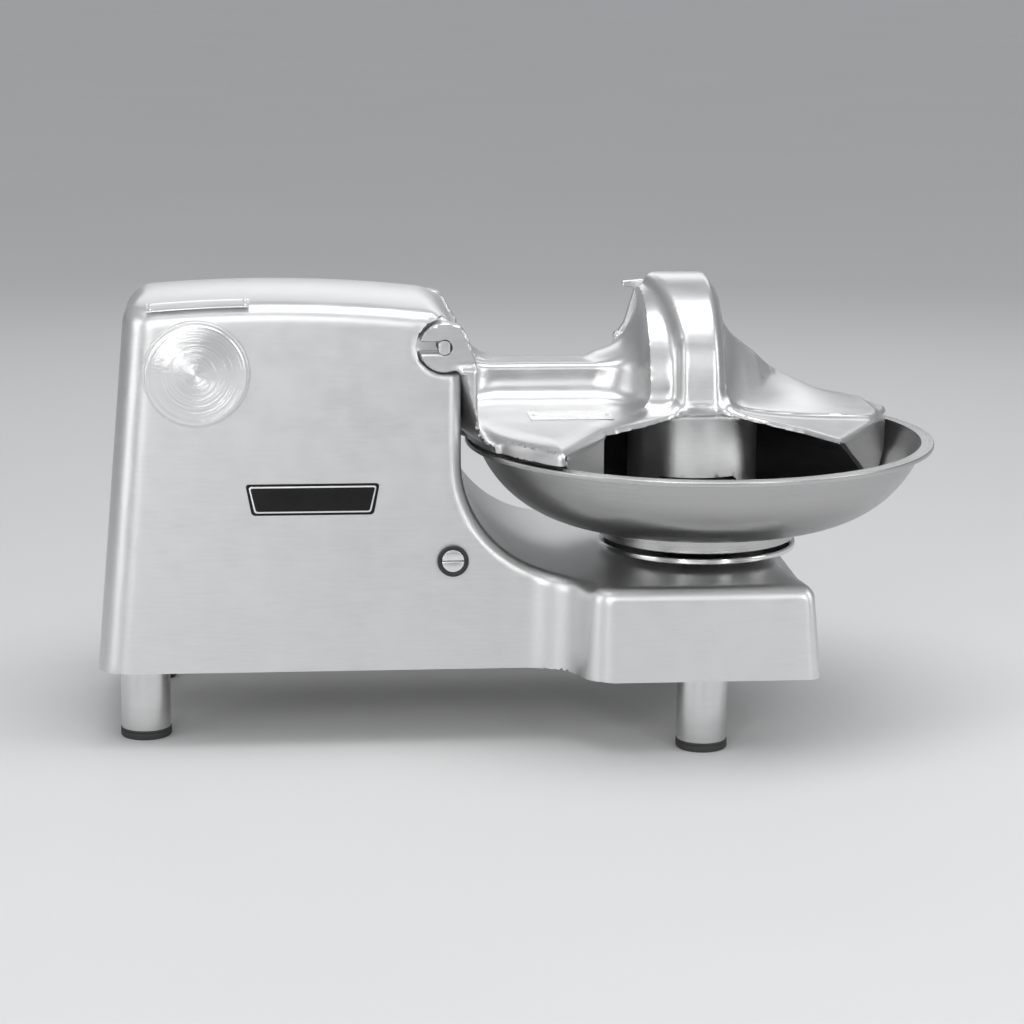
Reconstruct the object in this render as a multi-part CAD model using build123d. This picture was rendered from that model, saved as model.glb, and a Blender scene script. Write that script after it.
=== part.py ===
from build123d import *
import math
import os

# Table-top bowl cutter: a motor housing on four short legs carries a turning
# stainless bowl, and a hinged cast cover hides the knives that sweep the bowl.
#
# Working axes, millimetres: the bowl turns about X = Y = 0, the bench is Z = 0,
# the operator stands at -Y and the motor end is at -X. The finished part is
# moved at the end so that its origin is the middle of its footprint.

# ---- bench, legs and base outline ----
foot_height = 9.0
foot_r = 25.6
leg_r = 25.0
leg_wall = 2.5
base_z = 77.0
left_leg_x = -567.0
right_leg_x = -12.7
left_front_leg_y = -58.0
right_front_leg_y = -138.0
rear_leg_y = 165.0
stud_r = 6.0
stud_length = 26.0
stud_clearance = 0.1
leg_boss_r = 24.0
leg_boss_height = 34.0
leg_rib_width = 7.0
leg_rib_height = 22.0

left_x = -612.0
right_x = 101.0
front_y = -115.0
pedestal_y = -177.0
back_y = 222.0
side_draft = 5.0
front_draft = 3.3
casting_wall = 6.0
rear_corner_r = 30.0
front_left_r = 30.0
pedestal_corner_r = 11.0
sweep_start_x = -188.0
sweep_hollow_r = 55.0
sweep_round_r = 33.0

# ---- side outline of the base, seen from the front ----
pedestal_top = 170.0
pedestal_edge_r = 25.0
saddle_r = 115.0
right_wall_x = -251.0
slant_foot_z = 408.0
slant_top_x = -283.0
slant_top_z = 450.0
left_corner_r = 22.0
left_corner_z = 447.0

# ---- crowned top ----
crown_centre_x = -443.0
crown_r = 1420.0
crown_front_z = 439.0
crown_front_y = -94.0
crown_arc_r = 340.0
crown_front_slope = 16.0
crown_back_slope = 9.0
crown_back_r = 32.0
crown_back_y = 203.0

# ---- bottom plate ----
bottom_plate = 2.0
bottom_plate_gap = 0.5
bottom_plate_rise = 3.0

# ---- bowl ----
rim_z = 290.0
rim_r = 240.0
rim_thickness = 3.0
rim_lip = 5.0
bowl_wall = 2.5
knife_swing = 111.5
knife_gap = 2.5
shaft_y = 118.0
shaft_z = 323.0
hub_top_z = 242.0
hub_boss_r = 30.0
hub_boss_z = 190.0
hub_skirt_r = 44.0
hub_skirt_z = 226.0
hub_bore_depth = 38.0
foot_ring_r = 100.0
foot_ring_wall = 4.0
foot_ring_z = 187.5

# ---- bowl drive ----
table_r = 101.7
table_thickness = 6.4
table_top_z = 183.0
table_hub_r = 26.0
spindle_r = 14.0
spindle_bottom_z = 92.0
pin_r = 4.0
running_clearance = 0.05
worm_wheel_teeth = 40
worm_wheel_r = 62.0
worm_wheel_width = 20.0
worm_wheel_z = 124.0
worm_r = 16.0
worm_mesh_gap = 0.4
worm_shaft_r = 9.0

# ---- knife shaft and its arm ----
arm_r = 19.5
arm_boss_r = 22.0
arm_boss_length = 16.0
arm_flange_r = 36.0
arm_flange_thickness = 10.0
arm_end_x = -62.0
arm_bore_gap = 3.0
knife_shaft_r = 9.0
knife_shaft_left_x = -556.0
bearing_wall = 6.0
bearing_width = 12.0
knife_hub_r = 15.0
knife_left_x = 9.5
knife_thickness = 3.2
knife_hub_left_x = -18.0
nut_length = 16.0
nut_r = 13.0

# ---- motor, belt and reduction gears ----
gear_module = 1.6
pinion_teeth = 20
gear_teeth = 43
gear_x = -312.0
gear_width = 14.0
tooth_gap = 0.25
tooth_depth = 2.4
motor_offset_y = -16.0
motor_r = 76.0
motor_left_x = -560.0
motor_right_x = -372.0
motor_bell_length = 24.0
motor_shaft_r = 9.5
motor_shaft_right_x = -300.0
pulley_x = -340.0
pulley_width = 24.0
pulley_r = 36.0
belt_thickness = 5.0
belt_gap = 0.4
worm_shaft_left_x = -326.0
worm_shaft_right_x = 74.0
worm_post_x = -296.0
cradle_width = 20.0
cradle_span = 120.0

# ---- attachment hub ----
hub_x = -510.6
hub_z = 375.0
hub_cap_r = 49.4
hub_cap_thickness = 5.0
hub_plug_length = 14.0
hub_ring_r = 52.0
hub_bore_r = 32.0
hub_tube_wall = 6.0
hub_tube_length = 72.0
hub_shaft_r = 12.0
hub_drive_square = 14.0
hub_wheel_r = 36.0
hub_worm_r = 15.4
hub_wheel_width = 18.0

hub_face_y = -104.0
hub_bore_end_y = -48.0
hub_wheel_teeth = 30
hub_flange_r = 56.0
hub_flange_thickness = 8.0
hub_pad_r = 58.0
hub_pad_y = -84.0
hub_sleeve_r = 20.0
hub_sleeve_end_y = 58.0
hub_nose_r = 20.0
hub_nose_length = 20.0

# ---- bearings under the bowl ----
bearing_pad_r = 34.0
bearing_pad_depth = 18.0
spindle_bearing_r = 24.0
spindle_bearing_width = 12.0
frame_wall = 8.0
frame_half_x = 78.0
frame_front_y = -76.0
frame_floor_z = 86.0

# ---- cover ----
cover_wall = 5.0
cover_edge_r = 236.0
cover_bottom_z = 293.5
cover_edge_z = 304.0
shelf_z = 314.0
cover_left_x = -247.5
guard_r = 119.5
guard_flat_distance = 117.5
guard_flat_tilt = 8.0
guard_front_left_x = -18.0
guard_back_left_x = -36.0
guard_right_x = 24.0
guard_rear_step = 0.8
arm_cover_front_y = 76.0
arm_cover_back_y = 176.0
arm_cover_top_z = 353.0
hinge_x = -268.0
hinge_z = 399.0
hinge_pin_r = 7.0
hinge_pin_flats = 11.0
hinge_slot_gap = 0.5
lug_r = 24.5
lug_front_y = -101.0
lug_thickness = 20.0
rear_lug_y = 176.0
pocket_gap = 2.0
cover_open_edge = [(-206, -270), (-106, -72), (-71, -43), (-31, -5), (40, -5), (66, -23)]
cover_right_edge = [(100, -56), (127, -106), (168, -22), (205, 60), (222, 114)]
cover_shoulder_x = -205.0
cover_side_back_y = 202.0
bulkhead_thickness = 6.5
bulkhead_top_z = 372.0
guard_widest_x = -42.0
left_flare = (-110.0, 101.0, 72.0)
right_flare = (149.2, 127.1, 122.7)
right_flare_end_x = 118.0
flare_r = 104.0
flare_overlap = 13.0
hump_rise = 48.0
hump_start_x = 60.0
hump_end_x = 190.0
hump_front_y = 20.0
neck_right_x = -222.0
neck_outer_angle = -56.0
lug_tangent_angle = 30.0
cover_open_angle = 95.0
comb_thickness = 3.0
comb_low_z = 352.0
comb_slot = 8.0
comb_pitch = 18.0
left_plate_ends = ((-156.0, -171.0), (-106.0, -72.0))
right_plate_ends = ((127.0, -106.0), (205.0, 50.0))
latch_x = -64.0
latch_z = 369.0
latch_y = 155.0
latch_width = 10.0
latch_boss_r = 6.5
latch_pin_r = 2.5
latch_ear = 4.0
apron_x = 3.0
apron_y = 66.0
apron_r = 68.0
bowl_clearance = 3.0

# ---- controls and plates ----
button_x = -260.0
button_z = 187.0
button_r = 11.4
button_bezel_r = 15.6
button_travel = 3.0
button_split = 0.8
button_proud = 3.5
button_depth = 12.0
bezel_proud = 5.0
switch_block = (36.0, 40.0, 34.0)
sign_thickness = 1.2
sign_seat = 0.05
badge_size = (133.0, 31.5)
badge_x = -398.0
badge_z = 250.0
top_plate_size = (100.0, 19.0)
top_plate_x = -508.0
top_plate_y = -84.0
cover_plate_size = (85.0, 46.0)
cover_plate_x = -134.0
cover_plate_y = -13.0
rivet_r = 2.0
rivet_height = 1.1
gland_x = -470.0
gland_z = 128.0
gland_r = 13.0
gland_bore_r = 5.5
gland_length = 34.0
screw_head_r = 5.0
screw_head_height = 3.0
screw_r = 2.5


BASE = (Align.CENTER, Align.CENTER, Align.MIN)


def tan_deg(angle):
    return math.tan(math.radians(angle))


def bar(start, end, radius):
    """A solid cylinder between two points."""
    first = Vector(*start)
    run = Vector(*end) - first
    return Plane(origin=first, z_dir=run.normalized()) * Cylinder(radius, run.length, align=BASE)


def pipe(start, end, outer, inner):
    """A tube between two points."""
    return bar(start, end, outer) - bar(start, end, inner)


def block(low, high):
    """A box between two corners."""
    size = [b - a for a, b in zip(low, high)]
    middle = [(a + b) / 2 for a, b in zip(low, high)]
    return Pos(*middle) * Box(*size)


def prism_x(points, start, end):
    """A prism along X from a closed run of (y, z) points."""
    face = Plane.YZ.offset(start) * make_face(Polyline(*points, close=True))
    return extrude(face, amount=end - start, dir=(1, 0, 0))


def prism_y(points, start, end):
    """A prism along Y from a closed run of (x, z) points."""
    face = Plane.XZ.offset(-start) * make_face(Polyline(*points, close=True))
    return extrude(face, amount=end - start, dir=(0, 1, 0))


def prism_z(points, start, end):
    """A prism along Z from a closed run of (x, y) points."""
    face = Plane.XY.offset(start) * make_face(Polyline(*points, close=True))
    return extrude(face, amount=end - start, dir=(0, 0, 1))


def joined(shapes):
    """One solid from several that touch or overlap."""
    whole = shapes[0]
    for shape in shapes[1:]:
        whole = whole + shape
    return whole


def group(shapes):
    """Separate solids that share one node."""
    return Compound(children=[s for shape in shapes for s in shape.solids()])


# ---------------------------------------------------------------- housing

def base_plan(z, shrink):
    """Plan outline of the base casting at one height, drawn in by its draft."""
    rise = z - base_z
    side_in = shrink + rise * tan_deg(side_draft)
    front_in = shrink + rise * tan_deg(front_draft)
    x0 = left_x + side_in
    x1 = right_x - side_in
    y_front = front_y + front_in
    y_back = back_y - front_in
    step = front_y - pedestal_y
    turn = math.degrees(math.acos(1 - step / (sweep_hollow_r + sweep_round_r)))
    left_r = front_left_r - shrink
    rear_r = rear_corner_r - shrink
    small_r = pedestal_corner_r - shrink
    front = Line((x0 + left_r, y_front), (sweep_start_x, y_front))
    hollow = JernArc(front @ 1, (1, 0), sweep_hollow_r + front_in, -turn)
    round_out = JernArc(hollow @ 1, hollow % 1, sweep_round_r - front_in, turn)
    pedestal = Line(round_out @ 1, (x1 - small_r, (round_out @ 1).Y))
    corner = JernArc(pedestal @ 1, (1, 0), small_r, 90)
    right = Line(corner @ 1, (x1, y_back - rear_r))
    rear_right = JernArc(right @ 1, (0, 1), rear_r, 90)
    rear = Line(rear_right @ 1, (x0 + rear_r, y_back))
    rear_left = JernArc(rear @ 1, (-1, 0), rear_r, 90)
    left = Line(rear_left @ 1, (x0, y_front + left_r))
    front_left = JernArc(left @ 1, (0, -1), left_r, 90)
    edges = [front, hollow, round_out, pedestal, corner, right, rear_right]
    edges += [rear, rear_left, left, front_left]
    return Plane.XY.offset(z) * make_face(edges)


def base_profile(shrink):
    """Side outline of the base, extruded from front to back."""
    far = 80.0
    top = pedestal_top - shrink
    slant = math.atan2(slant_top_z - slant_foot_z, right_wall_x - slant_top_x)
    miter = shrink * (1 - math.sin(slant)) / math.cos(slant)
    edge_r = pedestal_edge_r - shrink
    corner_r = left_corner_r - shrink
    edge_rise = pedestal_top - pedestal_edge_r - base_z
    corner_rise = left_corner_z - left_corner_r - base_z
    edge_x = right_x - edge_rise * tan_deg(side_draft) - shrink
    corner_x = left_x + corner_rise * tan_deg(side_draft) + shrink
    roof = left_corner_z - shrink
    low_left = (left_x - far, base_z - far)
    low_right = (right_x + far, base_z - far)
    step_right = (right_x + far, top - edge_r)
    step_left = (left_x - far, roof - corner_r)
    saddle_end = (right_wall_x + saddle_r, top)
    slant_foot = (right_wall_x - shrink, slant_foot_z - miter)
    slant_end = (slant_foot[0] - far * math.cos(slant), slant_foot[1] + far * math.sin(slant))
    ridge = (crown_centre_x, slant_end[1])
    edge = JernArc((edge_x, top - edge_r), (0, 1), edge_r, 90)
    saddle = JernArc(saddle_end, (-1, 0), saddle_r + shrink, -90)
    corner = JernArc((corner_x + corner_r, roof), (-1, 0), corner_r, 90)
    path = [Line(low_left, low_right), Line(low_right, step_right)]
    path += [Line(step_right, edge @ 0), edge, Line(edge @ 1, saddle_end), saddle]
    path += [Line(saddle @ 1, slant_foot), Line(slant_foot, slant_end)]
    path += [Line(slant_end, ridge), Line(ridge, corner @ 0), corner]
    path += [Line(corner @ 1, step_left), Line(step_left, low_left)]
    face = Plane.XZ.offset(-(back_y + far)) * make_face(path)
    return extrude(face, amount=back_y - pedestal_y + 2 * far, dir=(0, -1, 0))


def crown_body(shrink):
    """Everything under the crowned roof: a front-to-back outline turned about a low axis."""
    low = base_z - 2 * casting_wall - 60.0
    far = 60.0
    front_run = crown_front_y - pedestal_y + far
    start = (crown_front_y, crown_front_z - shrink)
    front_low = (start[0] - front_run, start[1] - front_run * tan_deg(crown_front_slope))
    turn = crown_front_slope + crown_back_slope
    slope = math.radians(crown_front_slope)
    arc = JernArc(start, (math.cos(slope), math.sin(slope)), crown_arc_r - shrink, -turn)
    back_r = crown_back_r - shrink
    fall = tan_deg(crown_back_slope)
    back_edge_y = crown_back_y - shrink
    reach = back_edge_y - back_r * (1 - math.sin(math.radians(crown_back_slope)))
    roof_end = (reach, (arc @ 1).Y - (reach - (arc @ 1).X) * fall)
    roof = Line(arc @ 1, roof_end)
    back_arc = JernArc(roof @ 1, roof % 1, back_r, -(90 - crown_back_slope))
    step = (back_y + far, (back_arc @ 1).Y)
    path = [Line(front_low, start), arc, roof, back_arc, Line(back_arc @ 1, step)]
    path += [Line(step, (back_y + far, low)), Line((back_y + far, low), (front_low[0], low))]
    path += [Line((front_low[0], low), front_low)]
    face = Plane.YZ.offset(crown_centre_x) * make_face(path)
    crest = max((arc @ t).Y for t in (0.5, 0.6, 0.7))
    axis = Axis((crown_centre_x, 0, crest - crown_r), (0, 1, 0))
    return revolve(face, axis, 360)


def base_form(shrink, bottom):
    """The base as a solid: drafted plan, side outline and crowned roof together."""
    top = slant_top_z + crown_back_r
    walls = loft([base_plan(bottom, shrink), base_plan(top, shrink)], ruled=True)
    return walls & base_profile(shrink) & crown_body(shrink)


# ---- places worked out from the values above ----
plate_bottom_z = base_z + bottom_plate_rise
plate_top_z = plate_bottom_z + bottom_plate
worm_y = worm_wheel_r + worm_r + worm_mesh_gap
worm_z = worm_wheel_z
gear_distance = gear_module * (pinion_teeth + gear_teeth) / 2
motor_y = worm_y + motor_offset_y
motor_z = worm_z + math.sqrt(gear_distance**2 - motor_offset_y**2)
trough_r = knife_swing + knife_gap
pocket_r = lug_r + pocket_gap
pocket_floor = 8.0
front_pocket_y = lug_front_y + lug_thickness + pocket_gap
rear_pocket_y = rear_lug_y - pocket_gap
bearing_r = knife_shaft_r + bearing_wall
seat_gap = 0.02
inner_wall_x = right_wall_x - casting_wall
arm_flange_x = inner_wall_x - arm_flange_thickness
bearing_post_xs = (knife_shaft_left_x + 8.0, pulley_x + 36.0)
table_bottom_z = table_top_z - table_thickness


def front_wall_y(z):
    """Y of the drafted front panel at one height."""
    return front_y + (z - base_z) * tan_deg(front_draft)


def panel_place(x, z):
    """A plane lying on the front panel, facing out of it."""
    slope = math.radians(front_draft)
    out = (0, -math.cos(slope), math.sin(slope))
    return Plane(origin=(x, front_wall_y(z), z), x_dir=(1, 0, 0), z_dir=out)


def leg_places():
    """Name and foot centre of each leg."""
    return {
        "front_left": (left_leg_x, left_front_leg_y),
        "front_right": (right_leg_x, right_front_leg_y),
        "rear_left": (left_leg_x, rear_leg_y),
        "rear_right": (right_leg_x, rear_leg_y),
    }


def leg_ribs(x, y):
    """Two ribs that tie a leg boss to the side wall and to the front or back wall."""
    wall_x = left_x if x < right_wall_x else right_x
    wall_y = pedestal_y if y < 0 else back_y
    half = leg_rib_width / 2
    low = plate_top_z
    high = low + leg_rib_height
    along_x = block((min(x, wall_x), y - half, low), (max(x, wall_x), y + half, high))
    along_y = block((x - half, min(y, wall_y), low), (x + half, max(y, wall_y), high))
    return [along_x, along_y]


def hinge_bosses():
    """Thick bosses behind the two hinge pockets."""
    boss_r = pocket_r + casting_wall
    front_end = (hinge_x, front_pocket_y + pocket_floor, hinge_z)
    rear_end = (hinge_x, rear_pocket_y - pocket_floor, hinge_z)
    front = bar((hinge_x, front_y, hinge_z), front_end, boss_r)
    rear = bar(rear_end, (hinge_x, back_y, hinge_z), boss_r)
    return [front, rear]


def raised_neck_edge():
    """Upper edge of a hinge neck with the cover fully open, with the pocket gap outside it."""
    turn = math.radians(cover_open_angle)
    rise = math.radians(lug_tangent_angle)
    near = (lug_r * math.cos(rise), lug_r * math.sin(rise))
    far = (neck_right_x - hinge_x, -lug_r)
    length = math.dist(near, far)
    out = ((near[1] - far[1]) / length, (far[0] - near[0]) / length)
    edge = []
    for x, z in (near, far):
        along = x + pocket_gap * out[0]
        up = z + pocket_gap * out[1]
        turned_x = along * math.cos(turn) - up * math.sin(turn)
        turned_z = along * math.sin(turn) + up * math.cos(turn)
        edge.append((hinge_x + turned_x, hinge_z + turned_z))
    return edge


def hinge_pockets():
    """Round recesses, open to the right and upwards, that the cover lugs and necks turn in."""
    far = 60.0
    front = bar((hinge_x, front_y - far, hinge_z), (hinge_x, front_pocket_y, hinge_z), pocket_r)
    rear = bar((hinge_x, rear_pocket_y, hinge_z), (hinge_x, back_y + far, hinge_z), pocket_r)
    side_low = hinge_z - pocket_r
    right = hinge_x + far
    near_end, far_end = raised_neck_edge()
    swing = [(hinge_x, side_low), (right, side_low), (right, far_end[1]), far_end, near_end]
    front_side = prism_y(swing, front_y - far, front_pocket_y)
    rear_side = prism_y(swing, rear_pocket_y, back_y + far)
    return [front, rear, front_side, rear_side]


def housing():
    """The base casting: motor housing, saddle and pedestal in one open-bottomed shell."""
    outer = base_form(0, base_z)
    shell = outer - base_form(casting_wall, base_z - 2 * casting_wall)
    inserts = hinge_bosses()
    for x, y in leg_places().values():
        inserts.append(bar((x, y, base_z), (x, y, base_z + leg_boss_height), leg_boss_r))
        inserts += leg_ribs(x, y)
    inserts.append(bar((hub_x, front_y, hub_z), (hub_x, hub_pad_y, hub_z), hub_pad_r))
    pad_low = (0, 0, pedestal_top - bearing_pad_depth)
    inserts.append(bar(pad_low, (0, 0, pedestal_top), bearing_pad_r))
    body = shell + (joined(inserts) & outer)
    cuts = hinge_pockets()
    for x, y in leg_places().values():
        cuts.append(bar((x, y, 0), (x, y, base_z + stud_length), stud_r + stud_clearance))
    hub_hole_r = hub_bore_r + hub_tube_wall + stud_clearance
    cuts.append(bar((hub_x, 2 * front_y, hub_z), (hub_x, 0, hub_z), hub_hole_r))
    seat_r = spindle_bearing_r + seat_gap
    cuts.append(bar((0, 0, 0), (0, 0, pedestal_top - bearing_wall), seat_r))
    cuts.append(bar((0, 0, 0), (0, 0, rim_z), spindle_r + 1.0))
    neck_r = arm_boss_r + stud_clearance
    cuts.append(bar((inner_wall_x - 1.0, shaft_y, shaft_z), (0, shaft_y, shaft_z), neck_r))
    button_hole = panel_place(button_x, button_z) * Cylinder(button_r + 1.0, 60.0)
    cuts.append(button_hole)
    gland_hole = bar((gland_x, 0, gland_z), (gland_x, 2 * back_y, gland_z), gland_r * 0.6)
    cuts.append(gland_hole)
    for pin_hole in hinge_pin_bars(stud_clearance):
        cuts.append(pin_hole)
    for cut in cuts:
        body = body - cut
    return body


def hinge_pin_bars(grow):
    """Round stock for the two hinge pins."""
    radius = hinge_pin_r + grow
    front_end = (hinge_x, front_pocket_y + pocket_floor, hinge_z)
    rear_start = (hinge_x, rear_pocket_y - pocket_floor, hinge_z)
    rear_end = (hinge_x, rear_lug_y + lug_thickness, hinge_z)
    front = bar((hinge_x, lug_front_y, hinge_z), front_end, radius)
    return [front, bar(rear_start, rear_end, radius)]


def hinge_pins():
    """Two pins with flats, so that the open slots of the raised cover lift off them."""
    pins = []
    side = hinge_pin_r - hinge_pin_flats / 2
    for pin in hinge_pin_bars(0):
        box = pin.bounding_box()
        lug_low = lug_front_y if box.min.Y < 0 else rear_pocket_y
        lug_high = front_pocket_y if box.min.Y < 0 else rear_lug_y + lug_thickness
        for sign in (-1, 1):
            flat_x = hinge_x + sign * hinge_pin_flats / 2
            edge_x = flat_x + sign * side
            low = (min(flat_x, edge_x), lug_low, hinge_z - hinge_pin_r)
            high = (max(flat_x, edge_x), lug_high, hinge_z + hinge_pin_r)
            pin = pin - block(low, high)
        pins.append(pin)
    return group(pins)


def bottom_cover():
    """Plate that closes the underside of the casting between its walls."""
    inside = base_form(casting_wall + bottom_plate_gap, base_z - casting_wall)
    low = (left_x, pedestal_y, plate_bottom_z)
    plate = inside & block(low, (right_x, back_y, plate_top_z))
    for x, y in leg_places().values():
        boss = bar((x, y, 0), (x, y, base_z + leg_boss_height), leg_boss_r + bottom_plate_gap)
        plate = plate - boss
    for x, y in bottom_screw_places():
        plate = plate - bar((x, y, 0), (x, y, plate_top_z), screw_r + stud_clearance)
    return plate


def bottom_screw_places():
    """One screw beside each leg boss, under the rib that runs to the side wall."""
    places = []
    for x, y in leg_places().values():
        side = -1 if x < right_wall_x else 1
        places.append((x + side * (leg_boss_r + screw_head_r + 1.0), y))
    return places


def bottom_cover_screws():
    """Pan-head screws that hold the bottom plate against the ribs."""
    screws = []
    for x, y in bottom_screw_places():
        head = bar((x, y, plate_bottom_z - screw_head_height), (x, y, plate_bottom_z), screw_head_r)
        shank = bar((x, y, plate_bottom_z), (x, y, plate_top_z), screw_r)
        screws.append(head + shank)
    return group(screws)


# ---------------------------------------------------------------- legs

def leg(x, y):
    """A round tube leg with a closed top and a threaded stud."""
    tube = bar((x, y, foot_height), (x, y, base_z), leg_r)
    tube = tube - bar((x, y, foot_height), (x, y, base_z - leg_wall * 2), leg_r - leg_wall)
    stud_top = base_z + stud_length - 1.0
    return tube + bar((x, y, base_z), (x, y, stud_top), stud_r)


def foot(x, y):
    """A rubber foot plugged into the end of the leg tube."""
    plug_r = leg_r - leg_wall - stud_clearance
    sole = bar((x, y, 0), (x, y, foot_height), foot_r)
    plug = bar((x, y, foot_height), (x, y, 2 * foot_height), plug_r)
    return chamfer(sole.edges().sort_by(Axis.Z)[0], 1.0) + plug


# ---------------------------------------------------------------- bowl

def trough_point(r):
    """Height of the inside of the bowl at one radius."""
    return shaft_z - math.sqrt(trough_r**2 - (r - shaft_y) ** 2)


def bowl():
    """The pressed bowl: hub, ring-shaped trough swept by the knives, rim and foot ring."""
    inner_rim_r = shaft_y + math.sqrt(trough_r**2 - (shaft_z - rim_z) ** 2)
    hub_r = shaft_y - math.sqrt(trough_r**2 - (shaft_z - hub_top_z) ** 2)
    outer_r = trough_r + bowl_wall
    under_z = rim_z - rim_thickness
    outer_rim_r = shaft_y + math.sqrt(outer_r**2 - (shaft_z - under_z) ** 2)
    skirt_join_z = shaft_z - math.sqrt(outer_r**2 - (shaft_y - hub_skirt_r) ** 2)
    low_z = shaft_z - trough_r
    inside = ThreePointArc((hub_r, hub_top_z), (shaft_y, low_z), (inner_rim_r, rim_z))
    flange = Line((inner_rim_r, rim_z), (rim_r, rim_z))
    lip_out = Line((rim_r, rim_z), (rim_r, rim_z - rim_lip))
    lip_low = Line((rim_r, rim_z - rim_lip), (rim_r - rim_thickness, rim_z - rim_lip))
    lip_in = Line((rim_r - rim_thickness, rim_z - rim_lip), (rim_r - rim_thickness, under_z))
    under = Line((rim_r - rim_thickness, under_z), (outer_rim_r, under_z))
    outside = ThreePointArc(
        (outer_rim_r, under_z), (shaft_y, low_z - bowl_wall), (hub_skirt_r, skirt_join_z)
    )
    skirt = Line((hub_skirt_r, skirt_join_z), (hub_boss_r, hub_skirt_z))
    boss_side = Line((hub_boss_r, hub_skirt_z), (hub_boss_r, hub_boss_z))
    boss_low = Line((hub_boss_r, hub_boss_z), (0, hub_boss_z))
    axis = Line((0, hub_boss_z), (0, hub_top_z))
    hub = Line((0, hub_top_z), (hub_r, hub_top_z))
    edges = [inside, flange, lip_out, lip_low, lip_in, under, outside, skirt, boss_side]
    profile = Plane.XZ * make_face(edges + [boss_low, axis, hub])
    shell = revolve(profile, Axis.Z, 360)
    bore_top = hub_boss_z + hub_bore_depth
    shell = shell - bar((0, 0, hub_boss_z), (0, 0, bore_top), spindle_r + running_clearance)
    ring_top = trough_point(foot_ring_r)
    ring = pipe((0, 0, foot_ring_z), (0, 0, ring_top), foot_ring_r, foot_ring_r - foot_ring_wall)
    sweep = Torus(shaft_y, outer_r - bowl_wall / 2)
    whole = shell + (ring - Pos(0, 0, shaft_z) * sweep)
    for x in drive_pin_xs():
        whole = whole - bar((x, 0, 0), (x, 0, hub_boss_z + pin_r * 2.2), pin_r + stud_clearance)
    return whole


def drive_pin_xs():
    """X of the two drive pins, one each side of the spindle."""
    reach = spindle_r + pin_r * 2
    return (-reach, reach)


def bowl_table():
    """Round drive plate that the bowl stands over."""
    disc = bar((0, 0, table_bottom_z), (0, 0, table_top_z), table_r)
    hub = bar((0, 0, table_top_z), (0, 0, hub_boss_z), table_hub_r)
    return disc + hub - bar((0, 0, 0), (0, 0, rim_z), spindle_r)


def drive_pins():
    """Two upright pins on the drive plate that key the bowl."""
    top = hub_boss_z + pin_r * 2
    return group([bar((x, 0, hub_boss_z), (x, 0, top), pin_r) for x in drive_pin_xs()])


# ---------------------------------------------------------------- bowl drive

def bowl_spindle():
    """Upright shaft that carries the worm wheel, the drive plate and the bowl."""
    return bar((0, 0, spindle_bottom_z), (0, 0, hub_boss_z + hub_bore_depth - 1.0), spindle_r)


def toothed_wheel(teeth, pitch_r, width):
    """A gear blank with straight teeth kept a little short of its pitch circle."""
    outer = pitch_r - tooth_gap
    root = outer - tooth_depth
    blank = Cylinder(outer, width)
    gap_width = math.pi * outer / teeth
    cutter = Pos((root + outer + 1.0) / 2, 0, 0) * Box(outer + 1.0 - root, gap_width, width)
    slots = [Rot(0, 0, 360 / teeth * i) * cutter for i in range(teeth)]
    return blank - Compound(children=slots)


def worm_wheel():
    """Wheel on the bowl spindle, turned by the worm."""
    wheel = Pos(0, 0, worm_wheel_z) * toothed_wheel(worm_wheel_teeth, worm_wheel_r, worm_wheel_width)
    return wheel - bar((0, 0, 0), (0, 0, rim_z), spindle_r)


def worm_shaft():
    """Cross shaft from the reduction gears to the worm under the bowl."""
    shaft = bar((worm_shaft_left_x, worm_y, worm_z), (worm_shaft_right_x, worm_y, worm_z), worm_shaft_r)
    worm_half = worm_wheel_width * 1.3
    worm = bar((-worm_half, worm_y, worm_z), (worm_half, worm_y, worm_z), worm_r)
    pitch = 2 * math.pi * worm_wheel_r / worm_wheel_teeth
    turns = int(2 * worm_half / pitch)
    for i in range(turns):
        x = (i - (turns - 1) / 2) * pitch
        groove = pipe((x - pitch / 5, worm_y, worm_z), (x + pitch / 5, worm_y, worm_z),
                      worm_r + 1.0, worm_r - tooth_depth)
        worm = worm - groove
    return shaft + worm


def ring_bearing(start, end, outer, bore):
    """A plain ring that stands for a ball bearing, with a shallow seal groove each side."""
    ring = pipe(start, end, outer - seat_gap, bore + running_clearance)
    run = Vector(*end) - Vector(*start)
    middle = (outer + bore) / 2
    deep = 0.8
    unit = run.normalized()
    for point, way in ((Vector(*start), unit), (Vector(*end), unit * -1)):
        groove = pipe(tuple(point), tuple(point + way * deep), middle + 1.5, middle - 1.5)
        ring = ring - groove
    return ring


def spindle_bearings():
    """Upper bearing in the pedestal and lower bearing in the gear frame."""
    top = pedestal_top - bearing_wall
    upper = ring_bearing((0, 0, top - spindle_bearing_width), (0, 0, top),
                         spindle_bearing_r, spindle_r)
    low = spindle_bottom_z
    lower = ring_bearing((0, 0, low), (0, 0, low + spindle_bearing_width),
                         spindle_bearing_r, spindle_r)
    return group([upper, lower])


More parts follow.
